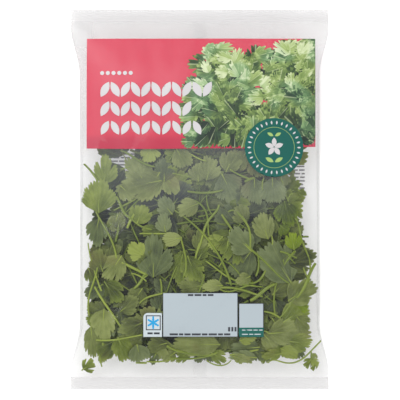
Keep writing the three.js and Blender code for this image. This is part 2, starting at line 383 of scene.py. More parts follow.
@dataclass(frozen=True)
class LeafletPlan:
    """One of a leaf's three leaflets, or a leaf of one blade."""

    turn: float
    neck: float
    share: float
    lobes: tuple[int, ...]  # number of large teeth on each of its lobes
    spread: float
    cleft: float = 0.22
    bulge: float = 0.3
    waist: float = 0.0
    width: float = 2.0
    uneven: float = 0.0
    phase: float = 0.0

    # In parts of its size or, for a gap, as a share of its rim. An edge is the power of a tooth's.
    BASE = 0.05  # where a blade starts
    INNER = 0.8  # what is left of the rim's arc near the base
    ROW_EASE = 0.8  # the power that draws its rows together towards the rim
    CROWN_FALL = 0.1
    SMALL_CUT, SMALL_EDGE = 0.075, 0.85
    LARGE_CUT, LARGE_EDGE = 0.04, 0.4
    SIDE_CUT, SIDE_GAP = 0.3, 0.07
    LOBE_GAP = 0.055
    DEEPEST = 0.14  # how much deeper than a cleft any cut may be

    @property
    def teeth(self) -> int:
        """Number of large teeth on all its lobes."""
        return sum(self.lobes)

    def uncut(self, turn: Array, finer: int) -> Array:
        """What the teeth leave of the distance from the base to the rim's arc.

        The crown 1 - 0.1 (u / s)^2 falls to the sides, wanders by a (sin(2.7 u + p) +
        sin(5.9 u + 2 p) / 2), and is notched between lobes and between teeth, each tooth
        having |sin|^p as its round edge.

        Args:
            turn: Turns u along the rim's arc.
            finer: Number of small teeth on each large one.

        Returns:
            The share that is left at each turn.
        """
        share = (turn / self.spread + 1.0) / 2.0
        wander = np.sin(2.7 * turn + self.phase) + np.sin(5.9 * turn + 2 * self.phase) / 2
        crown = 1.0 - self.CROWN_FALL * (turn / self.spread) ** 2 + self.uneven * wander
        small = 1.0 - np.abs(np.sin(np.pi * share * self.teeth * finer)) ** self.SMALL_EDGE
        large = 1.0 - np.abs(np.sin(np.pi * share * self.teeth)) ** self.LARGE_EDGE
        bounds = np.cumsum([0, *self.lobes]) / self.teeth
        nearest = np.min(np.abs(share[..., None] - bounds[1:-1]), axis=-1, initial=1.0)
        lobe = 1.0 - smooth(ramp(nearest, 0.0, self.LOBE_GAP))
        side = 1.0 - smooth(ramp(np.minimum(share, 1.0 - share), 0.0, self.SIDE_GAP))
        cut = self.SMALL_CUT * small + self.LARGE_CUT * large + self.cleft * lobe + self.SIDE_CUT * side
        return crown * (1.0 - np.minimum(cut, self.cleft + self.DEEPEST))

    def grid(self, detail: LeafDetail) -> tuple[Array, Array, Array]:
        """A grid over the blade: rows run out from its base, and columns round it.

        The rim's arc is (w + (1 - w) cos u, b / 2 sin u) with w its waist and b its width.

        Args:
            detail: How finely it is divided.

        Returns:
            Distance from the base and angle from the rib at each place, and the share of
            the way out of each row.
        """
        columns = self.teeth * detail.finer_teeth * detail.steps_per_tooth + 1
        turn = np.linspace(-self.spread, self.spread, columns)
        share = mix(self.BASE, 1.0, np.linspace(0.0, 1.0, detail.steps_out + 1) ** self.ROW_EASE)
        notched = mix(self.INNER, self.uncut(turn, detail.finer_teeth), share[:, None] ** 2)
        along = self.waist + (1.0 - self.waist) * np.cos(turn)
        across = self.width / 2.0 * np.sin(turn)
        out = share[:, None] * notched * np.hypot(along, across)
        return out, np.arctan2(across, along) * (1.0 + self.bulge * (1.0 - out)), share


SIDE_TURN = math.radians(95)
LEAFLETS = (
    LeafletPlan(-SIDE_TURN, 4.0, 0.86, (1, 2, 1), 0.92),
    LeafletPlan(0.0, 8.0, 1.0, (2, 2, 2), 1.05),
    LeafletPlan(SIDE_TURN, 4.0, 0.86, (1, 2, 1), 0.92),
)


def lone(
    lobes: tuple[int, ...], spread: float, cleft: float, waist: float, width: float = 2.0
) -> LeafletPlan:
    """The outline of a leaf of one blade, which starts at its hub."""
    return LeafletPlan(0.0, 0.0, 1.0, lobes, spread, cleft, 0.0, waist, width)


@dataclass
class Lehmer:
    """Lehmer's random numbers from 0 to 1, the same as the CAD's for the same seed."""

    state: int

    FACTOR, MODULUS = 48271, 2147483647

    def share(self) -> float:
        """The next number from 0 to 1."""
        self.state = (self.state * self.FACTOR) % self.MODULUS
        return self.state / self.MODULUS

    def draw(self, low: float, high: float) -> float:
        """The next number from low to high."""
        return low + (high - low) * self.share()

    def sign(self) -> int:
        """Minus one or one."""
        return -1 if self.share() < 0.5 else 1

    def skip(self, count: int) -> None:
        """Passes over numbers that the CAD draws for what is drawn anew here."""
        for _ in range(count):
            self.share()


@dataclass(frozen=True)
class Heap:
    """The layout of the CAD's leafy stems, dealt by the same rule and the same seed."""

    pillow: Pillow
    inset: float = 1.1
    foot: float = -121.0
    head: float = 58.0
    side_gap: float = 4.5
    beds: int = 9
    bed_gap: float = 0.4
    stems_per_bed: int = 4
    forked_per_bed: int = 1
    tries: int = 260
    spread_over: int = 3
    seed: int = 2113
    blade: float = 0.7
    stalk_foot_radius: float = 0.95
    hub_reach: float = 78.0
    hub_gap: float = 8.0
    bends: Pair = (0.12, 1.2)
    lengths: Pair = (42.0, 88.0)
    sways: Pair = (-0.8, 0.8)  # rise of its middle, in parts of half the bed's height
    sizes: Pair = (17.5, 22.5)
    forks: Pair = (0.5, 0.72)
    twig_lengths: Pair = (24.0, 34.0)
    twig_angles: Pair = (0.75, 1.05)
    twig_bend: float = 0.05
    twig_size: float = 0.84

    # Discs that cover a leaflet, in parts of its size, and those that cover a stalk.
    LEAFLET_MIDDLE, LEAFLET_RADIUS = 0.56, 0.64
    STALK_DISCS, STALK_RADIUS = 13, 3.0
    CUP_DRAWS = 2 * len(LEAFLETS)  # the CAD's draws for the bends of one leaf

    def level(self, x: Array, y: Array, share: Number) -> Array:
        """Height of a share of the way from the back panel to the front one, inside both."""
        low = self.pillow.underside(x, y, self.inset)
        return mix(low, self.pillow.top(x, y, self.inset), share)

    def bed_height(self, x: Array, y: Array) -> Array:
        """Height that one bed takes at a point of the heap."""
        low = self.pillow.underside(x, y, self.inset)
        return (self.pillow.top(x, y, self.inset) - low) / self.beds

    def within(self, x: Array, y: Array, z: Array, gap: Number) -> Array:
        """Heights held between the two panels.

        Args:
            x, y: Places in plan.
            z: The heights.
            gap: What is kept free to each panel.

        Returns:
            The heights, at the back panel's where there is too little room.
        """
        low = self.pillow.underside(x, y, self.inset) + gap
        high = self.pillow.top(x, y, self.inset) - gap
        return np.clip(z, low, np.maximum(low, high))

    def draw_stem(self, random: Lehmer, forked: bool) -> list[Arm]:
        """One stem, with a second leaf on a twig if it is forked. All its draws are made.

        Args:
            random: The source of the draws.
            forked: Whether it has the twig.

        Returns:
            One or two arms.
        """
        x = random.draw(-self.hub_reach, self.hub_reach)
        y = random.draw(self.foot + self.hub_gap, self.head - self.hub_gap)
        heading = random.draw(0, 2 * math.pi)
        bend = random.sign() * random.draw(*self.bends)
        length, sway = random.draw(*self.lengths), random.draw(*self.sways)
        main = Arm(x, y, heading, bend, length, sway, random.draw(*self.sizes))
        random.skip(self.CUP_DRAWS)
        fork, side = random.draw(*self.forks), random.sign()
        reach, angle = random.draw(*self.twig_lengths), random.draw(*self.twig_angles)
        random.skip(self.CUP_DRAWS)
        root_x, root_y, root_heading = main.at(fork)
        out = float(root_heading) + math.pi - side * angle
        x, y = away(float(root_x), float(root_y), out, reach)
        twig = Arm(x, y, out, self.twig_bend * side, reach, 0.0, main.size * self.twig_size)
        return [main, twig] if forked else [main]

    def discs(self, stem: Sequence[Arm]) -> Array:
        """Discs that cover a stem in plan.

        Args:
            stem: Its arms.

        Returns:
            Rows of x, y, radius and thickness, for each arm its leaflets before its stalk.
        """
        rows = []
        for arm in stem:
            for plan in LEAFLETS:
                out = plan.neck + self.LEAFLET_MIDDLE * arm.size * plan.share
                x, y = away(arm.x, arm.y, arm.heading + plan.turn, out)
                radius = self.LEAFLET_RADIUS * arm.size * plan.share
                rows.append(points([x], y, radius, self.blade))
            x, y, _ = arm.at(np.arange(self.STALK_DISCS) / (self.STALK_DISCS - 1))
            rows.append(points(x, y, self.STALK_RADIUS, 2 * self.stalk_foot_radius))
        return np.concatenate(rows)

    @staticmethod
    def apart(some: Array, others: Array) -> bool:
        """Whether no disc of one set touches one of the other."""
        gap = np.hypot(*(some[:, None, :2] - others[None, :, :2]).transpose(2, 0, 1))
        return bool(np.all(gap > some[:, None, 2] + others[None, :, 2]))

    def clear_of_itself(self, stem: Sequence[Arm]) -> bool:
        """Whether a stem's leaflets keep clear of its other arm.

        Args:
            stem: Its arms.

        Returns:
            True for a stem of one arm too.
        """
        if len(stem) < 2:
            return True
        main, twig = self.discs(stem[:1]), self.discs(stem[1:])
        leaf = slice(len(LEAFLETS))
        return self.apart(main[leaf], twig) and self.apart(twig[leaf], main)

    def fits(self, discs: Array) -> bool:
        """Whether discs lie in the heap, with their bed high enough for them.

        Args:
            discs: Rows of x, y, radius and thickness.

        Returns:
            True if every one of them does.
        """
        x, y, r, thickness = discs.T
        if np.any(y - r < self.foot) or np.any(y + r > self.head):
            return False
        if np.any(np.abs(x) + r > self.pillow.half_width(y) - self.side_gap):
            return False
        places = ((np.abs(x) + r, y), (x, y - r), (x, y + r))
        return all(np.all(self.bed_height(*at) > thickness + self.bed_gap) for at in places)

    def deal(self) -> list[list[list[Arm]]]:
        """The stems of every bed, from the lowest up.

        Of the stems drawn for a place, the one is kept that fits and whose leaf lies
        furthest from the leaves near it in this bed and those just below.

        Returns:
            For each bed its stems, each a list of one or two arms.
        """
        random = Lehmer(self.seed)
        beds: list[list[list[Arm]]] = []
        for _ in range(self.beds):
            kept: list[list[Arm]] = []
            below = [stem for bed in beds[-self.spread_over :] for stem in bed]
            for place in range(self.stems_per_bed):
                best = self.best_stem(random, place < self.forked_per_bed, kept, below + kept)
                kept += [best] if best else []
            beds.append(kept)
        return beds

    def best_stem(
        self, random: Lehmer, forked: bool, kept: list[list[Arm]], near: list[list[Arm]]
    ) -> list[Arm] | None:
        """The best of the stems drawn for one place.

        Args:
            random: The source of the draws.
            forked: Whether the stem has two leaves.
            kept: Stems already in this bed, which it must clear.
            near: Stems whose leaves it keeps away from.

        Returns:
            The stem, or None if none of those drawn fits.
        """
        taken = [self.discs(stem) for stem in kept]
        best, best_room = None, 0.0
        for _ in range(self.tries):
            stem = self.draw_stem(random, forked)
            hub = stem[0]
            gaps = [math.hypot(hub.x - other[0].x, hub.y - other[0].y) for other in near]
            room = min(gaps, default=math.inf)
            if best is not None and not room > best_room:
                continue
            discs = self.discs(stem)
            clear = self.clear_of_itself(stem) and self.fits(discs)
            if clear and all(self.apart(discs, other) for other in taken):
                best, best_room = stem, room
        return best


# ---------------- leaves and stalks


@dataclass(frozen=True)
class Curl:
    """How a leaflet's blade bends off its level, in millimetres at its rim.

    With o the distance from the base and c the part of it across the rib, both in parts of
    the leaflet's size, the lift is cup o^2 + tilt c - fold |c| + wave o^2 (sin(3 a + p) +
    sin(7 a + 2 p) / 2).
    """

    cup: float
    tilt: float
    fold: float
    wave: float
    phase: float

    def lift(self, out: Array, angle: Array) -> Array:
        """The lift of points of the blade.

        Args:
            out: Their distance from the base.
            angle: Their angle from the rib.

        Returns:
            The lift of each.
        """
        across = out * np.sin(angle)
        ripple = np.sin(3 * angle + self.phase) + np.sin(7 * angle + 2 * self.phase) / 2
        bowl = (self.cup + self.wave * ripple) * out**2
        return bowl + self.tilt * across - self.fold * np.abs(across)


@dataclass(frozen=True)
class LeafyStem:
    """One arm of a stem as fine surfaces: its stalk and, on it, a leaf of its blades."""

    heap: Heap
    arm: Arm  # the stalk's arc and the leaf's size; a size of 0 leaves the stalk bare
    share: float
    lean: Pair  # rise for each millimetre along X and along Y
    curls: tuple[Curl, ...]
    tones: Pair  # of the face that looks up and of the other one
    radii: Pair = (0.0, 0.0)  # at the hub and at the cut end
    stalk_tone: float = 0.5
    detail: LeafDetail = LeafDetail()
    drop: float = 0.0
    plans: tuple[LeafletPlan, ...] = LEAFLETS

    BLADE = 0.26  # a blade's thickness
    RIB_RADII = (0.5, 0.14)  # at the hub and at its end
    RIB_REACH = 0.55  # how far it runs on into the blade, in parts of the leaflet's size
    RIB_DROP = 0.1  # under the blade's middle
    RIB_STEPS, RIB_SIDES = 9, 6
    LIGHTEST_RIB = 0.5
    FOLLOWED = 12.0  # length over which the stalk leaves its leaf's lean
    CUT_TONE = 1.0

    def height(self, x: Array, y: Array, lift: Array, gap: float) -> Array:
        """Height of points lifted off the level, pressed flat where they meet a panel.

        Args:
            x, y: Places in plan.
            lift: How far over the level they lie.
            gap: What is kept free to each panel.

        Returns:
            The heights.
        """
        leaning = self.lean[0] * (x - self.arm.x) + self.lean[1] * (y - self.arm.y)
        free = self.heap.level(x, y, self.share) - self.drop + leaning + lift
        return self.heap.within(x, y, free, gap)

    def blade(self, plan: LeafletPlan, curl: Curl) -> Shell:
        """One leaflet: a fan over rows that run out from its base and columns round it.

        Args:
            plan: The leaflet's place on the leaf and its outline.
            curl: Its bend.

        Returns:
            The blade as a thin closed sheet. Its UV map counts its small teeth and gives
            the share of the way out.
        """
        out, angle, share = plan.grid(self.detail)
        size = self.arm.size * plan.share
        along = plan.neck + size * out * np.cos(angle)
        across = size * out * np.sin(angle)
        x, y = away(self.arm.x, self.arm.y, self.arm.heading + plan.turn, along, across)
        z = self.height(x, y, curl.lift(out, angle), self.BLADE)
        teeth = np.linspace(0.0, plan.teeth * self.detail.finer_teeth, out.shape[1])
        uv = points(teeth[None, :], share[:, None])
        return slab(points(x, y, z + self.BLADE / 2), self.BLADE, uv, self.tones)

    def rib(self, plan: LeafletPlan, curl: Curl) -> Shell:
        """The slim stalk from the hub into a leaflet, which runs on as its rib.

        Args:
            plan: The leaflet's place on the leaf.
            curl: Its bend.

        Returns:
            The rib as a tube.
        """
        size = self.arm.size * plan.share
        along = np.linspace(0.0, plan.neck + self.RIB_REACH * size, self.RIB_STEPS)
        x, y = away(self.arm.x, self.arm.y, self.arm.heading + plan.turn, along)
        out = np.maximum(0.0, (along - plan.neck) / size)
        z = self.height(x, y, curl.lift(out, np.zeros_like(out)), self.BLADE)
        radius = np.linspace(*self.RIB_RADII, self.RIB_STEPS)
        tone = min(self.LIGHTEST_RIB, self.stalk_tone)
        return tube(points(x, y, z - self.RIB_DROP), radius, self.RIB_SIDES, tone).in_slot(1)

    def stalk(self) -> Shell:
        """The tapered stalk from the hub to the cut end, which settles onto the stem's level.

        Returns:
            The stalk as a tube.
        """
        t = np.linspace(0.0, 1.0, self.detail.stalk_steps)
        x, y, _ = self.arm.at(t)
        radius = mix(self.radii[0], self.radii[1], t)
        free = self.heap.bed_height(x, y) / 2
        sway = self.arm.sway * np.sin(np.pi * t) * free
        settled = np.exp(-((t * self.arm.length / self.FOLLOWED) ** 2))
        z = mix(self.heap.level(x, y, self.share) + sway, self.height(x, y, sway, 0.0), settled)
        path = points(x, y, self.heap.within(x, y, z, radius))
        shell = tube(path, radius, self.detail.stalk_sides, self.stalk_tone).in_slot(1)
        shell.tone[-1] = self.CUT_TONE
        return shell

    def leaf(self) -> list[Shell]:
        """The leaf's blades, each with the rib that carries it."""
        pairs = zip(self.plans, self.curls)
        return [shell for pair in pairs for shell in (self.blade(*pair), self.rib(*pair))]

    def shells(self) -> list[Shell]:
        """All the arm's surfaces."""
        return [self.stalk(), *(self.leaf() if self.arm.size else ())]


@dataclass(frozen=True)
class RaggedEdge:
    """The loose leaves' uneven outline in plan: waves off both sides and the foot."""

    side: float = 84.5
    foot: float = -118.5
    shoulders: tuple[tuple[int, float, float], ...] = (
        (1, 63.0, 8.0), (1, 71.0, -20.0), (-1, 47.0, 16.0), (-1, 62.0, -6.0),
    )

    def crossed(self, discs: Array) -> bool:
        """Whether a disc leaves the outline.

        Args:
            discs: Rows of x, y, radius and thickness.

        Returns:
            True if any of them does.
        """
        x, y, r, _ = discs.T
        ragged = 3.0 * np.sin(y / 6.5 + np.sign(x)) + 2.0 * np.sin(y / 2.9)
        foot = 2.0 * np.sin(x / 8.0) + 1.5 * np.sin(x / 3.3) + self.foot
        past = (np.abs(x) + r + ragged > self.side) | (y - r < foot)
        for side, out, start in self.shoulders:
            past |= (side * x + r > out) & (y + r > start)
        return bool(np.any(past))


@dataclass(frozen=True)
class PaintedLeafShade:
    """Painted light and shade of a heap's leaf: painted shade deep inside, lighter where little covers
    it.
    """

    sides: Pair = (48.0, 76.0)  # where the heap grows bare on either side, from and to
    foot: Pair = (84.0, 110.0)  # the same towards the foot
    head: Pair = (-35.0, 15.0)  # where the leaves grow lighter towards the head, from and to
    window: Pair = (20.0, 30.0)  # where painted light lifts leaves in the header band's shadow, from and to
    # painted shade: the tone at the lowest level, and what rising through the heap adds
    deepest: float = -0.12
    painted_shade_by_level: float = 0.24
    by_head: float = 0.24
    painted_window_light: float = 0.25
    # the tone where the heap is bare, in place of the painted shade
    bare: float = 0.42
    uneven: float = 0.24
    underside: float = 0.22
    face_up: float = 0.68

    def tones(self, arm: Arm, share: float, random: Random) -> Pair:
        """A leaf's tone on each face, with its painted light and shade.

        Args:
            arm: The leaf's arm.
            share: Its level.
            random: The source of its unevenness and of which face looks up.

        Returns:
            The tone of the face that looks up and of the other one.
        """
        bare = max(ramp(abs(arm.x), *self.sides), ramp(-arm.y, *self.foot))
        # painted shade deep in the heap, painted light under the header band's shadow, lighter towards
        # the head
        painted_light_and_shade = self.painted_shade_by_level * share + self.deepest
        painted_light_and_shade += self.by_head * float(smooth(ramp(arm.y, *self.head)))
        painted_light_and_shade += self.painted_window_light * float(smooth(ramp(arm.y, *self.window)))
        # where the heap is bare, the painted shade gives way to a lighter tone
        upper = mix(painted_light_and_shade, self.bare, float(bare)) + random.uniform(-self.uneven, self.uneven)
        faces = (upper, upper + self.underside)
        return faces if random.random() < self.face_up else faces[::-1]


@dataclass
class StemDresser:
    """Builds the fine stems: those that replace a CAD node and the loose ones between."""

    heap: Heap
    leaves: dict[str, Material]
    stalk: Material
    edge: RaggedEdge = RaggedEdge()
    shade: PaintedLeafShade = PaintedLeafShade()
    loose_layers: int = 9
    leaves_per_layer: int = 15
    stalks_per_layer: int = 7
    candidates: int = 40
    reach: float = 83.0
    bends: Pair = (0.1, 1.5)
    leaf_stalks: Pair = (14.0, 62.0)
    bare_stalks: Pair = (22.0, 74.0)
    leaf_sizes: Pair = (14.5, 22.0)
    lean: float = 0.22
    uneven: float = 0.07
    detail: LeafDetail = LeafDetail(steps_per_tooth=4, steps_out=5, stalk_sides=7, stalk_steps=16)
    random: Random = field(default_factory=lambda: np.random.default_rng(417))

    STEM_RADII = ((0.6, 0.95), (0.55, 0.6))  # of a stalk and of its twig, at the hub and the end
    STEM_CURL, LOOSE_CURL = 1.5, 2.4  # the strongest bend of a blade
    STEM_TONES, LOOSE_TONES = (0.1, 0.4), (0.0, 0.42)  # of a stalk, lower than in sight: painted shade inside the heap
    STEM_DROP = 1.5  # of a stem in the highest bed, under its bed's middle

    def curls(self, strength: float) -> tuple[Curl, ...]:
        """Three leaflets' bends.

        Args:
            strength: The strongest bend, in millimetres.

        Returns:
            One for each leaflet.
        """
        made = []
        for _ in LEAFLETS:
            cup, tilt, wave = self.random.uniform(-1, 1, 3) * (1.0, 1.2, 0.7) * strength
            fold = self.random.uniform(0.0, 1.2) * strength
            made.append(Curl(cup, tilt, fold, wave, self.random.uniform(0, 2 * math.pi)))
        return tuple(made)

    def uneven_plans(self) -> tuple[LeafletPlan, ...]:
        """The three leaflets, each with a rim of its own."""
        phases = self.random.uniform(0.0, 6.3, len(LEAFLETS))
        return tuple(replace(p, uneven=self.uneven, phase=float(f)) for p, f in zip(LEAFLETS, phases))

    def make(self, name: str, shells: Sequence[Shell], turn: int, nodes: Sequence[str] = ()) -> None:
        """Makes a piece whose blades take the finishes in turn, in the place of its nodes."""
        slot = SLOTS[turn % len(SLOTS)]
        make_piece(name, joined(shells), (self.leaves[slot], self.stalk), nodes)

    def replace_stems(self) -> None:
        """Makes the fine stem of every CAD stem, in the place and with the form of it."""
        for bed, stems in enumerate(self.heap.deal()):
            share = (bed + 0.5) / self.heap.beds
            for i, stem in enumerate(stems):
                shells = []
                for arm, radii in zip(stem, self.STEM_RADII):
                    curls, tones = self.curls(self.STEM_CURL), self.shade.tones(arm, share, self.random)
                    stalk_tone, drop = self.random.uniform(*self.STEM_TONES), self.STEM_DROP * share
                    fine = LeafyStem(
                        self.heap, arm, share, (0.0, 0.0), curls, tones, radii, stalk_tone, drop=drop
                    )
                    shells += fine.shells()
                node = f"stem_{bed + 1}_{i + 1}"
                self.make(f"fine_{node}", shells, bed + i, (node,))

    def draw_arm(self, size: float) -> Arm:
        """One loose arm anywhere in the heap.

        Args:
            size: Its leaf's size, or 0.

        Returns:
            The arm.
        """
        x = self.random.uniform(-self.reach, self.reach)
        y = self.random.uniform(self.heap.foot, self.heap.head)
        heading = self.random.uniform(0, 2 * math.pi)
        bend = self.random.choice((-1, 1)) * self.random.uniform(*self.bends)
        length = self.random.uniform(*(self.leaf_stalks if size else self.bare_stalks))
        return Arm(x, y, heading, bend, length, self.random.uniform(-1, 1), size)

    def place_arm(self, room: Heap, size: float, taken: list[Array]) -> Arm | None:
        """The candidate that fits and lies furthest from the leaves already placed.

        Args:
            room: The heap with the gaps that loose leaves keep.
            size: The leaf's size, or 0.
            taken: Middles of the leaves near it, to which its own is added.

        Returns:
            The arm, or None if no candidate fits.
        """
        best, best_room, best_middle = None, -1.0, None
        for _ in range(self.candidates):
            arm = self.draw_arm(size)
            discs = room.discs([arm])[0 if size else len(LEAFLETS) :]
            if not room.fits(discs) or self.edge.crossed(discs):
                continue
            middle = discs[: len(LEAFLETS), :2].mean(0)
            near = min((float(np.hypot(*(middle - other))) for other in taken), default=math.inf)
            if near > best_room:
                best, best_room, best_middle = arm, near, middle
        if best:
            taken.append(best_middle)
        return best

    def loose(self, arm: Arm, share: float) -> LeafyStem:
        """A loose arm as fine surfaces.

        Args:
            arm: The arm.
            share: Its level.

        Returns:
            The stem, leaning and with uneven leaflets.
        """
        lean = tuple(self.random.uniform(-self.lean, self.lean, 2))
        radii = (0.55, self.random.uniform(0.7, 1.05))
        curls, tones = self.curls(self.LOOSE_CURL), self.shade.tones(arm, share, self.random)
        stalk_tone, plans = self.random.uniform(*self.LOOSE_TONES), self.uneven_plans()
        return LeafyStem(
            self.heap, arm, share, lean, curls, tones, radii, stalk_tone, self.detail, plans=plans
        )

    def add_loose(self) -> None:
        """Fills the heap with loose leaves and cut stalks, in layers between the beds."""
        room = Heap(self.heap.pillow, side_gap=3.4, bed_gap=0.0, beds=3)
        taken: list[Array] = []
        for layer in range(self.loose_layers):
            taken = taken[-2 * self.leaves_per_layer :]
            share = (layer + 1.0) / (self.loose_layers + 2.0)
            shells = []
            for place in range(self.leaves_per_layer + self.stalks_per_layer):
                leafy = place < self.leaves_per_layer
                size = self.random.uniform(*self.leaf_sizes) if leafy else 0.0
                arm = self.place_arm(room, size, taken if leafy else [])
                if arm:
                    shells += self.loose(arm, share).shells()
            self.make(f"loose_leaves_{layer + 1}", shells, layer - 1)


# ---------------- the top layer


ARC_TO_WIDTH = 1.12  # a blade's arc is wider than the blade, whose teeth cut it back
RIM_UNEVEN = 0.065


class LeafForm(Enum):
    """The outline of a single leaf that lies in sight under the film."""

    FAN = lone((2, 3, 2), 1.95, 0.1, 0.42)
    LOBED = lone((3, 3, 3), 1.9, 0.17, 0.42)
    OVAL = lone((8,), 2.15, 0.1, 0.5)
    SPRIG = lone((1, 2, 1), 1.75, 0.36, 0.32)
    ROUND = lone((4, 4, 4), 2.05, 0.07, 0.5)

    def fitted(self, length: float, width: float, random: Random) -> LeafletPlan:
        """Its outline for one leaf, with clefts and a rim of that leaf's own.

        Args:
            length: The leaf's length.
            width: The leaf's width.
            random: The source of its unevenness.

        Returns:
            The outline.
        """
        plan: LeafletPlan = self.value
        cleft, phase = plan.cleft * random.uniform(0.8, 2.0), random.uniform(0.0, 6.3)
        arc = ARC_TO_WIDTH * width / length
        return replace(plan, width=arc, cleft=cleft, uneven=RIM_UNEVEN, phase=phase)


class TopLeaf(NamedTuple):
    """A leaf in sight under the film."""

    x: float
    y: float
    tip_x: float
    tip_y: float
    width: float
    form: LeafForm
    tone: float
    finish: int
    drop: float  # its depth under the film


FAN, LOBED, OVAL, SPRIG, ROUND = LeafForm
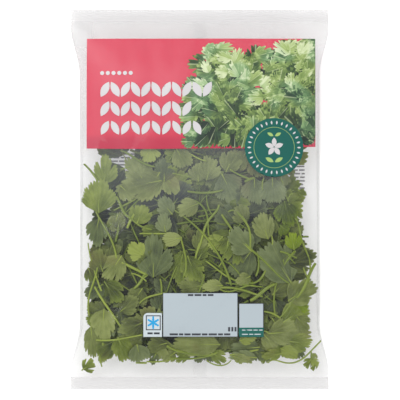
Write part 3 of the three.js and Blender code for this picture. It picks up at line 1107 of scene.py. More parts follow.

# Each row is one leaf's TopLeaf, set out one by one.
TOP_LEAVES = (
    (-39, 10, -51, 31, 19, FAN, 0.55, 0, 2.0), (-27, 14, -60, 8, 22, FAN, 0.5, 0, 1.4),
    (-29, 20, -43, 0, 19, FAN, 0.75, 0, 1.7), (-36, 38, -37, 27, 15, FAN, 0.75, 1, 1.2),
    (-26, 13, -26, 30, 15, OVAL, 0.35, 2, 0.5), (-26, 16, -12, 5, 16, FAN, 0.8, 0, 1.0),
    (-17, 37, -9, 23, 14, OVAL, 0.6, 0, 0.9), (-1, 13, -2, 27, 13, FAN, 0.55, 0, 1.5),
    (5, 14, 9, 32, 16, FAN, 0.6, 0, 0.9), (19, 20, 27, 37, 16, FAN, 0.5, 0, 1.6),
    (34, 36, 29, 22, 13, FAN, 0.4, 0, 2.4), (16, 19, 27, -3, 22, ROUND, 0.6, 2, 0.8),
    (40, 16, 40, -4, 18, ROUND, 0.55, 2, 1.2), (53, 16, 54, -4, 19, ROUND, 0.55, 2, 0.8),
    (-74, -10, -74, 14, 26, ROUND, 0.52, 1, 1.2), (-70, 11, -68, 32, 18, LOBED, 0.6, 1, 1.6),
    (-20, -11, -30, 1, 13, FAN, 0.65, 2, 1.2), (-25, -24, -28, -10, 12, FAN, 0.8, 2, 0.8),
    (-1, -3, -17, -9, 13, FAN, 0.62, 0, 0.8), (-46, -18, -41, -3, 16, FAN, 0.55, 1, 1.0),
    (-60, -22, -58, -9, 10, FAN, 0.35, 0, 2.8), (-60, -11, -64, -24, 12, FAN, 0.5, 0, 2.4),
    (-74, -14, -77, -34, 16, FAN, 0.42, 2, 1.0), (-73, -33, -73, -43, 16, FAN, 0.35, 0, 2.2),
    (-71, -53, -77, -37, 15, FAN, 0.4, 0, 1.6), (-57, -41, -70, -60, 18, LOBED, 0.7, 0, 0.6),
    (-82, -50, -77, -62, 10, FAN, 0.35, 1, 1.8), (-70, -60, -59, -76, 18, FAN, 0.3, 1, 1.4),
    (-42, -65, -51, -79, 15, FAN, 0.45, 0, 1.6), (-29, -81, -29, -68, 15, FAN, 0.25, 2, 2.4),
    (-58, -82, -46, -72, 15, FAN, 0.42, 0, 1.4), (-34, -57, -33, -27, 28, LOBED, 0.42, 2, 0.5),
    (-41, -41, -52, -34, 15, FAN, 0.92, 1, 1.0), (-13, -28, -28, -30, 10, OVAL, 1.0, 0, 0.4),
    (-12, -38, -17, -62, 15, FAN, 0.36, 1, 1.7), (-9, -41, -1, -61, 16, FAN, 0.4, 1, 1.2),
    (6, -63, -17, -64, 13, FAN, 0.45, 0, 1.0), (17, -63, 2, -63, 9, OVAL, 0.85, 0, 0.8),
    (17, -27, 7, -37, 13, FAN, 0.8, 1, 1.2), (-2, -37, 2, -22, 11, FAN, 0.5, 0, 1.6),
    (-1, -44, 5, -32, 10, FAN, 0.36, 1, 1.4), (38, -38, 22, -23, 19, FAN, 0.62, 2, 0.9),
    (50, -29, 43, -9, 15, FAN, 0.65, 0, 1.0), (34, -16, 26, -5, 13, FAN, 0.45, 0, 2.0),
    (62, -1, 65, -20, 17, LOBED, 0.12, 3, 1.0), (59, -19, 65, -25, 10, FAN, 0.35, 3, 0.6),
    (69, -37, 68, -23, 12, LOBED, 0.62, 3, 0.3), (65, -47, 85, -41, 19, FAN, 0.05, 0, 1.2),
    (67, -61, 47, -30, 25, FAN, 0.5, 2, 0.9), (38, -37, 23, -58, 20, FAN, 0.4, 2, 1.3),
    (37, -56, 27, -61, 10, FAN, 0.6, 0, 1.0), (53, -70, 67, -55, 16, FAN, 0.42, 0, 2.0),
    (65, -74, 84, -61, 20, FAN, 0.55, 0, 1.0), (61, -90, 81, -76, 19, FAN, 0.5, 1, 1.1),
    (50, -98, 81, -96, 20, FAN, 0.72, 0, 0.5), (46, -98, 59, -111, 13, FAN, 0.75, 0, 0.8),
    (59, -109, 72, -115, 10, OVAL, 0.8, 1, 0.4), (65, -101, 77, -116, 15, FAN, 0.38, 2, 1.2),
    (55, -74, 59, -87, 16, FAN, 0.15, 2, 2.2), (53, -87, 59, -96, 12, FAN, 0.5, 0, 1.4),
    (-70, -80, -72, -104, 18, FAN, 0.85, 0, 0.5), (-80, -93, -77, -117, 13, FAN, 0.6, 0, 1.0),
    (-71, -105, -71, -120, 10, FAN, 0.6, 1, 0.8), (-42, -90, -58, -98, 16, FAN, 0.3, 0, 1.6),
    (-60, -101, -53, -118, 16, FAN, 0.55, 1, 1.2), (-46, -106, -43, -120, 15, OVAL, 0.75, 2, 0.6),
    (-24, -105, -39, -109, 13, FAN, 0.4, 0, 1.4), (15, -106, -23, -106, 18, FAN, 0.7, 0, 0.8),
    (44, -108, 23, -110, 13, FAN, 0.5, 2, 0.9), (29, -103, 41, -101, 9, FAN, 0.8, 1, 1.0),
    (24, -115, 37, -118, 7, FAN, 0.8, 0, 1.0), (60, -113, 46, -115, 9, FAN, 0.6, 1, 1.2),
    (-18, -112, -27, -119, 9, FAN, 0.6, 0, 1.4), (-86, -125, -77, -119, 11, SPRIG, 0.62, 1, 0.6),
    (82, -117, 77, -124, 7, SPRIG, 0.62, 1, 0.6), (82, -118, 88, -122, 6, SPRIG, 0.85, 1, 0.8),
    (67, 6, 73, 8, 4, OVAL, 0.15, 1, 0.6), (72, 7, 78, 3, 5, OVAL, 0.3, 1, 0.6),
    (65, -3, 76, -14, 4, OVAL, 0.35, 1, 0.9), (38, 29, 46, 16, 13, FAN, 0.35, 0, 2.6),
    (-67, -46, -60, -33, 12, FAN, 0.3, 0, 2.6), (-22, -71, -32, -58, 12, FAN, 0.2, 2, 3.0),
    (-58, 10, -47, 0, 13, FAN, 0.55, 0, 1.9), (85, -113, 82, -119, 6, SPRIG, 0.9, 0, 0.5),
    (86, -120, 82, -126, 5, SPRIG, 0.5, 1, 0.9), (-71, -62, -83, -71, 14, FAN, 0.3, 2, 1.6),
    (-69, -83, -83, -80, 15, FAN, 0.26, 0, 1.8), (-72, -86, -83, -91, 12, FAN, 0.42, 1, 1.4),
    (8, -112, 20, -119, 10, LOBED, 0.55, 1, 1.0), (4, -110, 9, -120, 9, FAN, 0.4, 2, 1.5),
    (42, -116, 21, -114, 9, FAN, 0.78, 2, 0.5), (30, -113, 28, -121, 8, SPRIG, 0.6, 1, 0.9),
    (36, -114, 36, -121, 7, SPRIG, 0.7, 0, 1.0), (50, -112, 45, -120, 9, LOBED, 0.5, 1, 1.2),
    (40, -110, 47, -118, 9, FAN, 0.35, 2, 1.8), (-9, -112, -17, -119, 9, LOBED, 0.5, 1, 1.6),
    (-32, -113, -36, -121, 8, SPRIG, 0.45, 2, 1.6), (-2, -113, 1, -120, 8, FAN, 0.3, 2, 1.9),
    (71, -86, 80, -96, 12, LOBED, 0.4, 0, 1.5), (70, -72, 79, -82, 9, FAN, 0.35, 3, 1.2),
    (66, -104, 83, -106, 14, LOBED, 0.66, 1, 0.8),
)

# Each stalk: thickness, depth under the film, points in plan.
TOP_STALKS = (
    (1.8, 0.6, ((-85, 26), (-80, 21), (-75, 14))),
    (1.8, 0.4, ((-58, 36), (-50, 32), (-42, 27), (-33, 24))),
    (1.1, 1.0, ((-58, 22), (-55, 23), (-51, 24))),
    (2.3, 0.3, ((-61, 2), (-58, -4), (-55, -10), (-50, -14))),
    (2.2, 0.3, ((-53, -21), (-51, -16), (-48, -11))), (1.2, 1.0, ((-63, -8), (-57, -5), (-47, 0))),
    (1.5, 0.6, ((-50, -14), (-44, -19), (-35, -22))),
    (1.4, 0.6, ((-44, -25), (-36, -25), (-29, -25), (-21, -25), (-13, -29))),
    (1.6, 0.4, ((-14, -27), (-12, -35), (-10, -46), (-12, -57))),
    (1.6, 0.5, ((-76, -9), (-71, -18), (-66, -27), (-63, -34), (-61, -43))),
    (1.2, 0.8, ((-20, 19), (-14, 18), (-6, 16))), (2.0, 0.3, ((-9, 6), (-1, 5), (7, 5), (17, 7))),
    (1.3, 0.6, ((-6, 33), (-1, 30), (5, 28))),
    (1.6, 0.5, ((-7, 0), (0, -3), (4, -8), (6, -16), (7, -27))),
    (2.1, 0.3, ((14, -4), (10, -11), (6, -16), (2, -27), (-1, -36), (-3, -43))),
    (2.0, 0.4, ((16, -11), (20, -17), (25, -24))),
    (1.8, 0.4, ((21, -9), (25, -8), (30, -12), (35, -19), (37, -27), (37, -36))),
    (1.6, 0.4, ((22, 22), (29, 18), (37, 15))), (2.3, 0.4, ((33, 13), (37, 15), (40, 16))),
    (1.8, 0.4, ((33, -32), (37, -36), (46, -44), (56, -54), (65, -61))),
    (1.6, 0.6, ((42, -39), (43, -44), (43, -50), (41, -56))),
    (1.3, 0.8, ((22, -22), (21, -30), (19, -38), (17, -44), (14, -49))),
    (1.5, 0.5, ((3, -44), (10, -49), (18, -55), (29, -60))),
    (1.7, 0.4, ((36, -61), (42, -60), (46, -56), (48, -52))),
    (1.3, 0.8, ((19, -61), (28, -62), (46, -64))),
    (1.9, 0.5, ((2, -67), (11, -65), (26, -65), (37, -68), (46, -71))),
    (1.5, 1.0, ((14, -65), (24, -67), (32, -64), (40, -63))),
    (2.9, 0.3, ((37, -74), (43, -70), (49, -65), (55, -62))),
    (1.4, 0.5, ((70, -14), (73, -22), (76, -33), (80, -43), (81, -52), (80, -61))),
    (2.6, 0.3, ((85, -47), (81, -54), (78, -61), (75, -67), (71, -72))),
    (1.6, 0.4, ((59, -38), (65, -40), (71, -43))), (1.5, 0.5, ((64, -39), (67, -44), (70, -47))),
    (1.6, 0.7, ((61, -44), (62, -49), (65, -57))),
    (2.3, 0.3, ((-57, -46), (-51, -49), (-45, -52), (-39, -55))),
    (2.2, 0.3, ((-36, -47), (-39, -52), (-42, -58), (-48, -65))),
    (1.3, 1.0, ((-50, -54), (-44, -56), (-39, -60))), (1.2, 1.2, ((-36, -52), (-39, -56), (-42, -58))),
    (1.9, 0.3, ((-77, -64), (-71, -74), (-64, -84), (-58, -93))),
    (1.2, 0.6, ((-82, -32), (-80, -43), (-78, -50), (-75, -59))),
    (1.6, 0.4, ((-75, -50), (-77, -58), (-80, -67), (-81, -85))),
    (1.7, 0.5, ((-76, -56), (-74, -62), (-72, -67))),
    (1.5, 0.5, ((-44, -76), (-39, -72), (-33, -70), (-25, -68))),
    (1.6, 0.8, ((-29, -58), (-28, -63), (-28, -69))),
    (1.5, 0.4, ((-76, -103), (-64, -103), (-52, -101), (-42, -99))),
    (2.0, 0.3, ((-24, -107), (-16, -111), (-6, -113), (5, -114), (13, -112))),
    (1.6, 0.6, ((-22, -116), (-11, -117), (0, -116), (10, -114))),
    (1.6, 0.5, ((-47, -120), (-44, -120), (-39, -120))),
    (1.3, 0.9, ((-39, -119), (-29, -119), (-17, -116))),
    (1.1, 0.8, ((5, -118), (10, -121), (16, -122), (23, -118))),
    (1.6, 0.7, ((22, -114), (33, -112), (43, -110))),
    (1.3, 0.5, ((50, -120), (56, -118), (63, -120), (72, -119), (78, -115), (83, -110), (89, -104))),
    (1.5, 0.6, ((47, -82), (52, -83), (59, -87))),
    (1.3, 0.6, ((58, -87), (62, -83), (67, -76), (72, -68))),
    (1.2, 0.8, ((65, -60), (65, -66), (65, -75))), (1.3, 0.6, ((46, -96), (52, -98), (58, -102))),
    (1.2, 1.0, ((52, -25), (53, -28), (53, -33))), (1.4, 0.5, ((76, -50), (78, -55), (80, -58))),
    (1.2, 1.6, ((5, 3), (6, -5), (9, -11))), (1.1, 1.8, ((-25, -71), (-20, -56), (-17, -49))),
    (1.2, 1.6, ((21, -46), (27, -52), (32, -59))), (1.3, 1.2, ((59, 17), (61, 11), (64, 1), (65, -2))),
    (1.2, 1.2, ((69, 5), (66, 3), (65, 0))), (1.2, 1.0, ((47, 16), (46, 13), (46, 7))),
    (1.2, 1.0, ((55, 16), (55, 13), (54, 8))), (1.1, 0.9, ((-18, 36), (-20, 32), (-22, 29))),
    (1.2, 0.6, ((-74, -114), (-73, -119), (-72, -123))),
    (1.2, 0.8, ((-87, -126), (-83, -122), (-80, -118))), (1.2, 0.8, ((82, -112), (82, -116), (83, -120))),
)


@dataclass
class TopLayer:
    """The leaves and stalks that lie in sight, pressed up against the film."""

    heap: Heap
    leaves: Sequence[Material]  # by the numbers in TOP_LEAVES
    stalk: Material
    detail: LeafDetail = LeafDetail(2, 6, 9)
    bends: tuple[float, float, float] = (1.9, 2.0, 0.8)  # strongest cup, tilt and wave
    cup: float = -0.6
    folds: Pair = (0.2, 2.6)
    lean: float = 0.06
    underside: float = 0.2
    head: Pair = (-25.0, 10.0)  # where the leaves grow lighter towards the head, from and to
    by_head: float = 0.1
    stalk_taper: float = 0.22
    stalk_sway: float = 0.8
    stalk_tones: Pair = (0.25, 0.5)
    stalk_sides: int = 8
    random: Random = field(default_factory=lambda: np.random.default_rng(90))

    def leaf(self, row: TopLeaf) -> list[Shell]:
        """One leaf from its row of the table.

        Args:
            row: The leaf's places and looks.

        Returns:
            Its blade in its finish's slot, and its rib in the stalks'.
        """
        size = math.hypot(row.tip_x - row.x, row.tip_y - row.y)
        heading = math.atan2(row.tip_y - row.y, row.tip_x - row.x)
        cup, tilt, wave = self.random.uniform(-1, 1, 3) * self.bends
        fold, phase = self.random.uniform(*self.folds), self.random.uniform(0, 6.3)
        lean = tuple(self.random.uniform(-self.lean, self.lean, 2))
        tone = row.tone + self.by_head * float(smooth(ramp(row.y, *self.head)))
        under = tone + self.random.uniform(-self.underside, self.underside)
        fine = LeafyStem(
            self.heap, Arm(row.x, row.y, heading, 0.0, 0.0, 0.0, size), 1.0, lean,
            (Curl(cup + self.cup, tilt, fold, wave, phase),), (tone, under), stalk_tone=tone,
            detail=self.detail, drop=row.drop, plans=(row.form.fitted(size, row.width, self.random),),
        )
        blade, rib = fine.leaf()
        return [blade.in_slot(row.finish), rib.in_slot(len(self.leaves))]

    def stalk_shell(self, width: float, drop: float, through: Sequence[Pair]) -> Shell:
        """One stalk: a polynomial through its points over their distance along it.

        Args:
            width: Its thickness.
            drop: Its depth under the film.
            through: Its points in plan.

        Returns:
            The stalk as a tube, both of whose ends are cut.
        """
        places = np.array(through, float)
        gaps = np.hypot(*np.diff(places, axis=0).T)
        at = np.concatenate([[0.0], np.cumsum(gaps)]) / gaps.sum()
        t = np.linspace(0.0, 1.0, 12 + 2 * len(through))
        x, y = (np.polyval(np.polyfit(at, line, len(through) - 1), t) for line in places.T)
        from_middle = np.abs(2 * t - 1.0 + self.random.uniform(-0.3, 0.3))
        radius = width / 2 * (1.0 - self.stalk_taper * from_middle)
        sway = self.random.uniform(0.0, self.stalk_sway) * np.sin(np.pi * t)
        z = self.heap.pillow.top(x, y, self.heap.inset) - drop - radius - sway
        path = points(x, y, self.heap.within(x, y, z, radius))
        shell = tube(path, radius, self.stalk_sides, self.random.uniform(*self.stalk_tones))
        shell.tone[-2:] = LeafyStem.CUT_TONE
        return shell.in_slot(len(self.leaves))

    def make(self) -> None:
        """Makes the leaves in pieces by finish, and the stalks."""
        groups: list[list[Shell]] = [[] for _ in self.leaves]
        for row in map(TopLeaf._make, TOP_LEAVES):
            groups[row.finish] += self.leaf(row)
        finishes = (*self.leaves, self.stalk)
        for name, slot, shells in zip((*SLOTS, "leaf_vivid"), (*SLOTS, "leaf_light"), groups):
            make_piece(f"top_{name}", joined(shells), finishes)
        stalks = joined(self.stalk_shell(*row) for row in TOP_STALKS)
        make_piece("top_stalks", stalks, finishes)


# ---------------- the film


class Panel(Enum):
    """One of the film's two panels. Its value sets its creases apart from the other's."""

    FRONT = 1
    BACK = -1


@dataclass(frozen=True)
class FilmBag:
    """The clear film: a pillow of one closed skin, with creases and crimped seals.

    The creases are waves a sin(k . (x, y) + p) with seeded directions, and pleats across
    the width that die away from each seal. Both fade out towards the side folds.
    """

    pillow: Pillow
    waves: int = 16
    wave_lengths: Pair = (18.0, 75.0)
    wave_height: float = 0.003
    pleats: int = 5
    pleat_lengths: Pair = (11.0, 26.0)
    pleat_height: float = 0.45
    pleat_start: float = 10.0
    pleat_reach: float = 26.0
    pleat_fan: float = 0.002
    crimp_pitch: float = 2.25
    crimp_height: float = 0.045
    seal_blend: float = 8.0
    fold_blend: float = 2.0
    across: int = 110
    seal_rows: int = 30
    bag_rows: int = 160
    seam_half: float = 5.0
    seam_thickness: Pair = (0.02, 0.23)  # at its edges, and what is added in its middle
    seam_drop: float = 0.12
    seam_steps: tuple[int, int] = (7, 150)
    seed: int = 52

    UV_SCALE = 0.005

    def relief(self, x: Array, y: Array, panel: Panel) -> Array:
        """Height of the creases and crimps.

        Args:
            x, y: Places in plan.
            panel: The panel that they are on.

        Returns:
            The height at each place.
        """
        random = np.random.default_rng(self.seed + panel.value)
        total = np.zeros(np.broadcast_shapes(np.shape(x), np.shape(y)))
        for _ in range(self.waves):
            length, turn = random.uniform(*self.wave_lengths), random.uniform(0, np.pi)
            place = x * math.cos(turn) + y * math.sin(turn)
            total += self.wave_height * length * sine_wave(place, length, random.uniform(0, 2 * np.pi))
        depth = np.maximum(0.0, self.pillow.depth_in(y))
        reach = smooth(ramp(depth, 0.0, self.pleat_start)) * np.exp(-((depth / self.pleat_reach) ** 2))
        fan = x * (1.0 + self.pleat_fan * depth)
        for _ in range(self.pleats):
            length, phase = random.uniform(*self.pleat_lengths), random.uniform(0, 2 * np.pi)
            total += self.pleat_height / 2 * reach * sine_wave(fan, length, phase)
        bulge = self.pillow.half_height(x, y, 0.0) / self.pillow.half_thickness
        inside = smooth(ramp(self.pillow.depth_in(y), 0.0, self.seal_blend))
        crimp = sine_wave(y, self.crimp_pitch) * self.crimp_height
        free = np.minimum(1.0, 1.6 * bulge)
        edge = ramp(self.pillow.half_width(y) - np.abs(x), 0.0, self.fold_blend)
        return inside * free * total + (1.0 - inside) * edge * crimp

    def height(self, x: Array, y: Array, panel: Panel) -> Array:
        """Height of a panel's outside.

        Args:
            x, y: Places in plan.
            panel: The panel.

        Returns:
            The height at each place, for the back panel no lower than it rests.
        """
        if panel is Panel.FRONT:
            return self.pillow.top(x, y) + self.relief(x, y, panel)
        return np.maximum(self.pillow.seam_proud, self.pillow.underside(x, y) + self.relief(x, y, panel))

    def skin(self) -> Shell:
        """The whole skin: rings of both panels from seal to seal, with the slit ends closed.

        Returns:
            The skin as one closed surface.
        """
        edge = self.pillow.length / 2
        seal = np.linspace(edge, edge - self.pillow.seal, self.seal_rows, endpoint=False)
        eased = np.sin(np.linspace(-1.0, 1.0, self.bag_rows) * np.pi / 2)
        y = np.concatenate([-seal, eased * (edge - self.pillow.seal), seal[::-1]])[:, None]
        x = self.pillow.half_width(y) * np.sin(np.linspace(1.0, -1.0, self.across) * np.pi / 2)[None, :]
        front, back = (points(x, y, self.height(x, y, panel)) for panel in Panel)
        rings = np.concatenate([front, back[:, -2:0:-1]], axis=1)
        rows, count = rings.shape[:2]
        numbers = np.arange(rows * count).reshape(rows, count)
        faces = [grid_faces(np.concatenate([numbers, numbers[:, :1]], axis=1))]
        for row, order in ((0, 1), (-1, -1)):
            upper = numbers[row, : self.across]
            lower = np.concatenate([upper[:1], numbers[row, : self.across - 1 : -1], upper[-1:]])
            slit = grid_faces(np.stack([lower, upper]))
            at_folds = np.stack([slit[0, 1:], slit[-1, :3]])
            faces += [slit[1:-1, ::order], at_folds[:, ::order]]
        uv = rings[..., :2].reshape(-1, 2) * self.UV_SCALE
        return Shell(rings.reshape(-1, 3), faces, [0] * len(faces), uv, np.zeros(rows * count))

    def seam(self) -> Shell:
        """The fin seam folded flat down the middle of the back, rounded under its edges.

        Returns:
            The seam as a closed sheet.
        """
        edge = self.pillow.length / 2 - self.pillow.seal
        x = np.linspace(-self.seam_half, self.seam_half, self.seam_steps[0])[:, None]
        y = np.linspace(-edge, edge, self.seam_steps[1])[None, :]
        grid = points(x, y, self.height(x, y, Panel.BACK) - self.seam_drop)
        lower = grid.copy()
        at_edge, in_middle = self.seam_thickness
        lower[..., 2] -= at_edge + in_middle * (1.0 - (x / self.seam_half) ** 4)
        return closed_sheet(grid, lower, grid[..., :2] * self.UV_SCALE, (0.0, 0.0))


# ---------------- printing


@dataclass(frozen=True)
class Motif:
    """A printed shape: what lies between two curves over a line, turned and placed."""

    x: float
    y: float
    length: float
    half: Callable[[Array], Array]  # half the width at a share from -1 to 1 along the line
    turn: float = 0.0
    steps: tuple[int, int] = (10, 4)

    def plan(self) -> tuple[Array, Array]:
        """A grid over the shape, closer together towards its ends.

        Returns:
            X and Y of its corners.
        """
        s = np.sin(np.linspace(-1.0, 1.0, self.steps[0] + 1) * np.pi / 2)[:, None]
        across = np.linspace(-1.0, 1.0, self.steps[1] + 1)[None, :]
        return away(self.x, self.y, self.turn, self.length / 2 * s, self.half(s) * across)


@dataclass(frozen=True)
class LeafMotif:
    """A printed leaf: a blade's outline laid flat, with its middle at a place."""

    x: float
    y: float
    size: float
    turn: float
    outline: LeafletPlan

    DETAIL = LeafDetail(1, 4, 2)

    def plan(self) -> tuple[Array, Array]:
        """A grid over the leaf, from its base out and round its rim.

        Returns:
            X and Y of its corners.
        """
        out, angle, _ = self.outline.grid(self.DETAIL)
        along = self.size * (out * np.cos(angle) - 0.5)
        return away(self.x, self.y, self.turn, along, self.size * out * np.sin(angle))


ROUND_OFF = 1.001  # instead of 1, so that a motif's ends keep a little width


def petal(x: float, y: float, length: float, width: float, turn: float) -> Motif:
    """A pointed oval: half width w (1 - s^2)."""
    return Motif(x, y, length, lambda s: width / 2 * (ROUND_OFF - s**2), turn)


def disc(x: float, y: float, radius: float, steps: int = 10) -> Motif:
    """A round: half width r (1 - s^2)^1/2."""
    grid = (steps, max(4, steps // 2))
    return Motif(x, y, 2 * radius, lambda s: radius * np.sqrt(ROUND_OFF - s**2), 0.0, grid)


def strip(
    x: float, y: float, length: float, width: float, turn: float = 0.0, steps: tuple[int, int] = (2, 2)
) -> Motif:
    """A rectangle along a line."""
    return Motif(x, y, length, lambda s: np.full_like(s, width / 2), turn, steps)


def bar(left: float, right: float, bottom: float, top: float, pitch: float = 2.0) -> Motif:
    """An upright rectangle, divided at about a pitch so that it follows the film."""
    steps = (max(2, round((right - left) / pitch)), max(2, round((top - bottom) / pitch)))
    return strip((left + right) / 2, (bottom + top) / 2, right - left, top - bottom, 0.0, steps)


@dataclass
class FilmPrint:
    """Printing on the film: motifs collected into one piece, each in one of its inks."""

    bag: FilmBag
    name: str
    inks: Sequence[Material]
    panel: Panel = Panel.FRONT
    shells: list[Shell] = field(default_factory=list)

    LIFT = 0.08  # of the first ink off the film
    STEP = 0.02  # of each further ink off the one under it
    INK = 0.008  # an ink's thickness

    def add(self, motif: Motif | LeafMotif, ink: int = 0, over: float = 0.0, tone: float = 0.5) -> None:
        """Prints one motif.

        Args:
            motif: Its shape.
            ink: Number of the ink.
            over: How many inks it lies over.
            tone: The shade that the ink's finish reads.
        """
        x, y = motif.plan()
        z = self.bag.height(x, y, self.panel) + (self.LIFT + self.STEP * over)
        shares = (np.linspace(0, 1, count) for count in x.shape)
        uv = np.stack(np.meshgrid(*shares, indexing="ij"), -1)
        self.shells.append(slab(points(x, y, z), self.INK, uv, (tone, tone)).in_slot(ink))

    def make(self) -> None:
        """Makes the piece from all that was added."""
        make_piece(self.name, joined(self.shells), self.inks)


@dataclass(frozen=True)
class Header:
    """The red band across the head of the bag, with a thicket of leaves and rows of petals."""

    bag: FilmBag
    left: float = -83.0
    right: float = 84.9
    bottom: float = 37.15
    top: float = 118.2
    rise: float = 1.6
    rise_at: Pair = (40.0, 84.0)  # where the lower edge rises, from and to
    shaded: tuple[Pair, Pair] = ((42.0, 50.0), (0.05, 0.5))  # the foot's painted shade, from and to, and tones
    leaf_layers: int = 5
    leaves_per_layer: int = 56
    first_leaf: float = -9.0
    leaf_sizes: Pair = (10.0, 16.5)
    middle: Pair = (38.0, 76.0)  # leaves near the thicket's edges lean away from it
    edge_width: Pair = (17.0, 15.0)  # how far in from the left and lower edge they do so
    dots_left: float = -71.5
    dots_right: float = -50.0
    dots_pitch: float = 4.2
    dots_y: float = 92.6
    dot: float = 1.5
    petals_left: float = -69.4
    petal_pitch: float = 7.5
    petal_lean: float = 0.5
    petal_width: float = 0.46
    petal_rows: tuple[tuple[float, float, int], ...] = (
        (80.6, 12.6, 11), (66.4, 12.4, 9), (52.5, 11.6, 10),
    )
    seed: int = 8

    OUTLINES = (
        lone((3, 3, 3), 1.9, 0.34, 0.4, 1.1),
        lone((2, 3, 2), 1.6, 0.26, 0.3, 0.95),
        lone((2, 2, 2, 2, 2), 2.1, 0.22, 0.45, 0.8),
    )
    BAND_LIFT = 0.06
    BAND_STEPS = (113, 56)
    PETALS_OVER = 12  # inks, the most that the thicket's leaves lie over

    def edge(self, x: Array) -> Array:
        """The band's lower edge, which waves a little and rises at the right."""
        return self.bottom + 0.25 * np.sin(x / 19.0 + 0.6) + self.rise * smooth(ramp(x, *self.rise_at))

    def band(self, ink: Material) -> None:
        """Makes the band itself, whose foot is darkened by a soft painted shade.

        Args:
            ink: Its finish.
        """
        x = np.linspace(self.left, self.right, self.BAND_STEPS[0])[:, None]
        y = mix(self.edge(x), self.top, np.linspace(0.0, 1.0, self.BAND_STEPS[1])[None, :])
        grid = points(x, y, self.bag.height(x, y, Panel.FRONT) + self.BAND_LIFT)
        shell = slab(grid, FilmPrint.INK, grid[..., :2] / 100.0, (0.5, 0.5))
        where, tones = self.shaded
        # painted shade along the band's foot, where the film bends down onto the leaves
        shell.tone[:] = mix(*tones, smooth(ramp(shell.points[:, 1], *where)))
        make_piece("header_band", shell, (ink,))

    def crown(self, x: Array) -> Array:
        """Height of the foliage's upper edge: a steep slope, then soft humps to the right."""
        rise = mix(84.0, 111.0, smooth(ramp(x, -16.0, 8.0))) + 9.0 * smooth(ramp(x, 56.0, 72.0))
        return rise + 3.5 * np.sin(x / 7.5) + 2.5 * np.sin(x / 3.1 + 1.0)

    def inside(self, leaf: LeafMotif) -> LeafMotif:
        """A leaf moved inside the band's right, lower and upper edges.

        Args:
            leaf: The leaf as it was drawn.

        Returns:
            The same leaf, a hair's breadth or more off each of them.
        """
        x, y = leaf.plan()
        back = max(0.0, float(x.max()) - self.right + 0.15)
        up = max(0.0, float((self.edge(x) - y).max()) + 0.15)
        down = max(0.0, float(y.max()) - self.top + 0.3)
        return replace(leaf, x=leaf.x - back, y=leaf.y + up - down)

    def free_spot(self, random: Random, taken: list[Pair]) -> Pair | None:
        """The one of nine places drawn under the crown that lies furthest from those taken.

        Args:
            random: The source of the draws.
            taken: Places of the layer's leaves.

        Returns:
            The place, or None if none of those drawn lies under the crown.
        """
        spots = random.uniform((self.first_leaf, self.bottom + 4.0), (91.0, 116.0), (9, 2))
        spots = spots[spots[:, 1] < self.crown(spots[:, 0]) - 3.0]
        gaps = [min((math.dist(spot, other) for other in taken), default=math.inf) for spot in spots]
        return tuple(spots[int(np.argmax(gaps))]) if gaps else None

    def draw_leaf(
        self, random: Random, x: float, y: float, layer: int
    ) -> tuple[LeafMotif, float, float]:
        """One printed leaf. Those at the left and lower edge lean outwards.

        Args:
            random: The source of the draws.
            x, y: Its place.
            layer: Its layer, of which the first is the deepest in shade.

        Returns:
            The leaf, the number of inks that it lies over and its tone.
        """
        turn = math.pi / 2 + random.uniform(-1.9, 1.9)
        if x < self.first_leaf + self.edge_width[0] or y < self.bottom + self.edge_width[1]:
            outwards = math.atan2(y - self.middle[1], x - self.middle[0])
            turn = outwards + 0.35 * (turn - math.pi / 2)
        size = random.uniform(*self.leaf_sizes)
        height = (y - self.bottom) / (self.top - self.bottom)
        lit = 0.1 + 1.6 * height - 0.45 * height**2
        depth = layer / (self.leaf_layers - 1)
        tone = (0.1 + 0.46 * depth) * lit + random.uniform(-0.2, 0.3)
        over = 1 + layer * 1.6 + random.uniform(0.0, 1.5)
        outline = self.OUTLINES[int(random.integers(len(self.OUTLINES)))]
        return self.inside(LeafMotif(x, y, size, turn, outline)), over, tone

    def foliage(self, ink: Material) -> None:
        """Makes the thicket of pointed leaves at the right, over a dark strip at its edge.

        Args:
            ink: The leaves' finish.
        """
        thicket = FilmPrint(self.bag, "header_leaves", (ink,))
        thicket.add(bar(self.right - 9.0, self.right, self.bottom + 9.0, self.top), 0, 0.5, 0.2)
        random = np.random.default_rng(self.seed)
        for layer in range(self.leaf_layers):
            placed: list[Pair] = []
            for _ in range(self.leaves_per_layer):
                if spot := self.free_spot(random, placed):
                    placed.append(spot)
                    leaf, over, tone = self.draw_leaf(random, *spot, layer)
                    thicket.add(leaf, 0, over, tone)
        thicket.make()

    def petals(self, ink: Material) -> None:
        """Makes the ornament at the left: a row of dots over three rows of leaning petals.

        Args:
            ink: Its finish.
        """
        ornament = FilmPrint(self.bag, "header_petals", (ink,))
        for x in np.arange(self.dots_left, self.dots_right, self.dots_pitch):
            ornament.add(disc(x, self.dots_y, self.dot), 0, self.PETALS_OVER)
        for y, length, count in self.petal_rows:
            for i in range(count):
                turn = math.pi / 2 + (self.petal_lean if i % 2 else -self.petal_lean)
                x = self.petals_left + self.petal_pitch * i
                ornament.add(petal(x, y, length, length * self.petal_width, turn), 0, self.PETALS_OVER)
        ornament.make()


class BadgeInk(IntEnum):
    """The badge's inks."""

    GROUND = 0
    LEAF = 1
    WHITE = 2


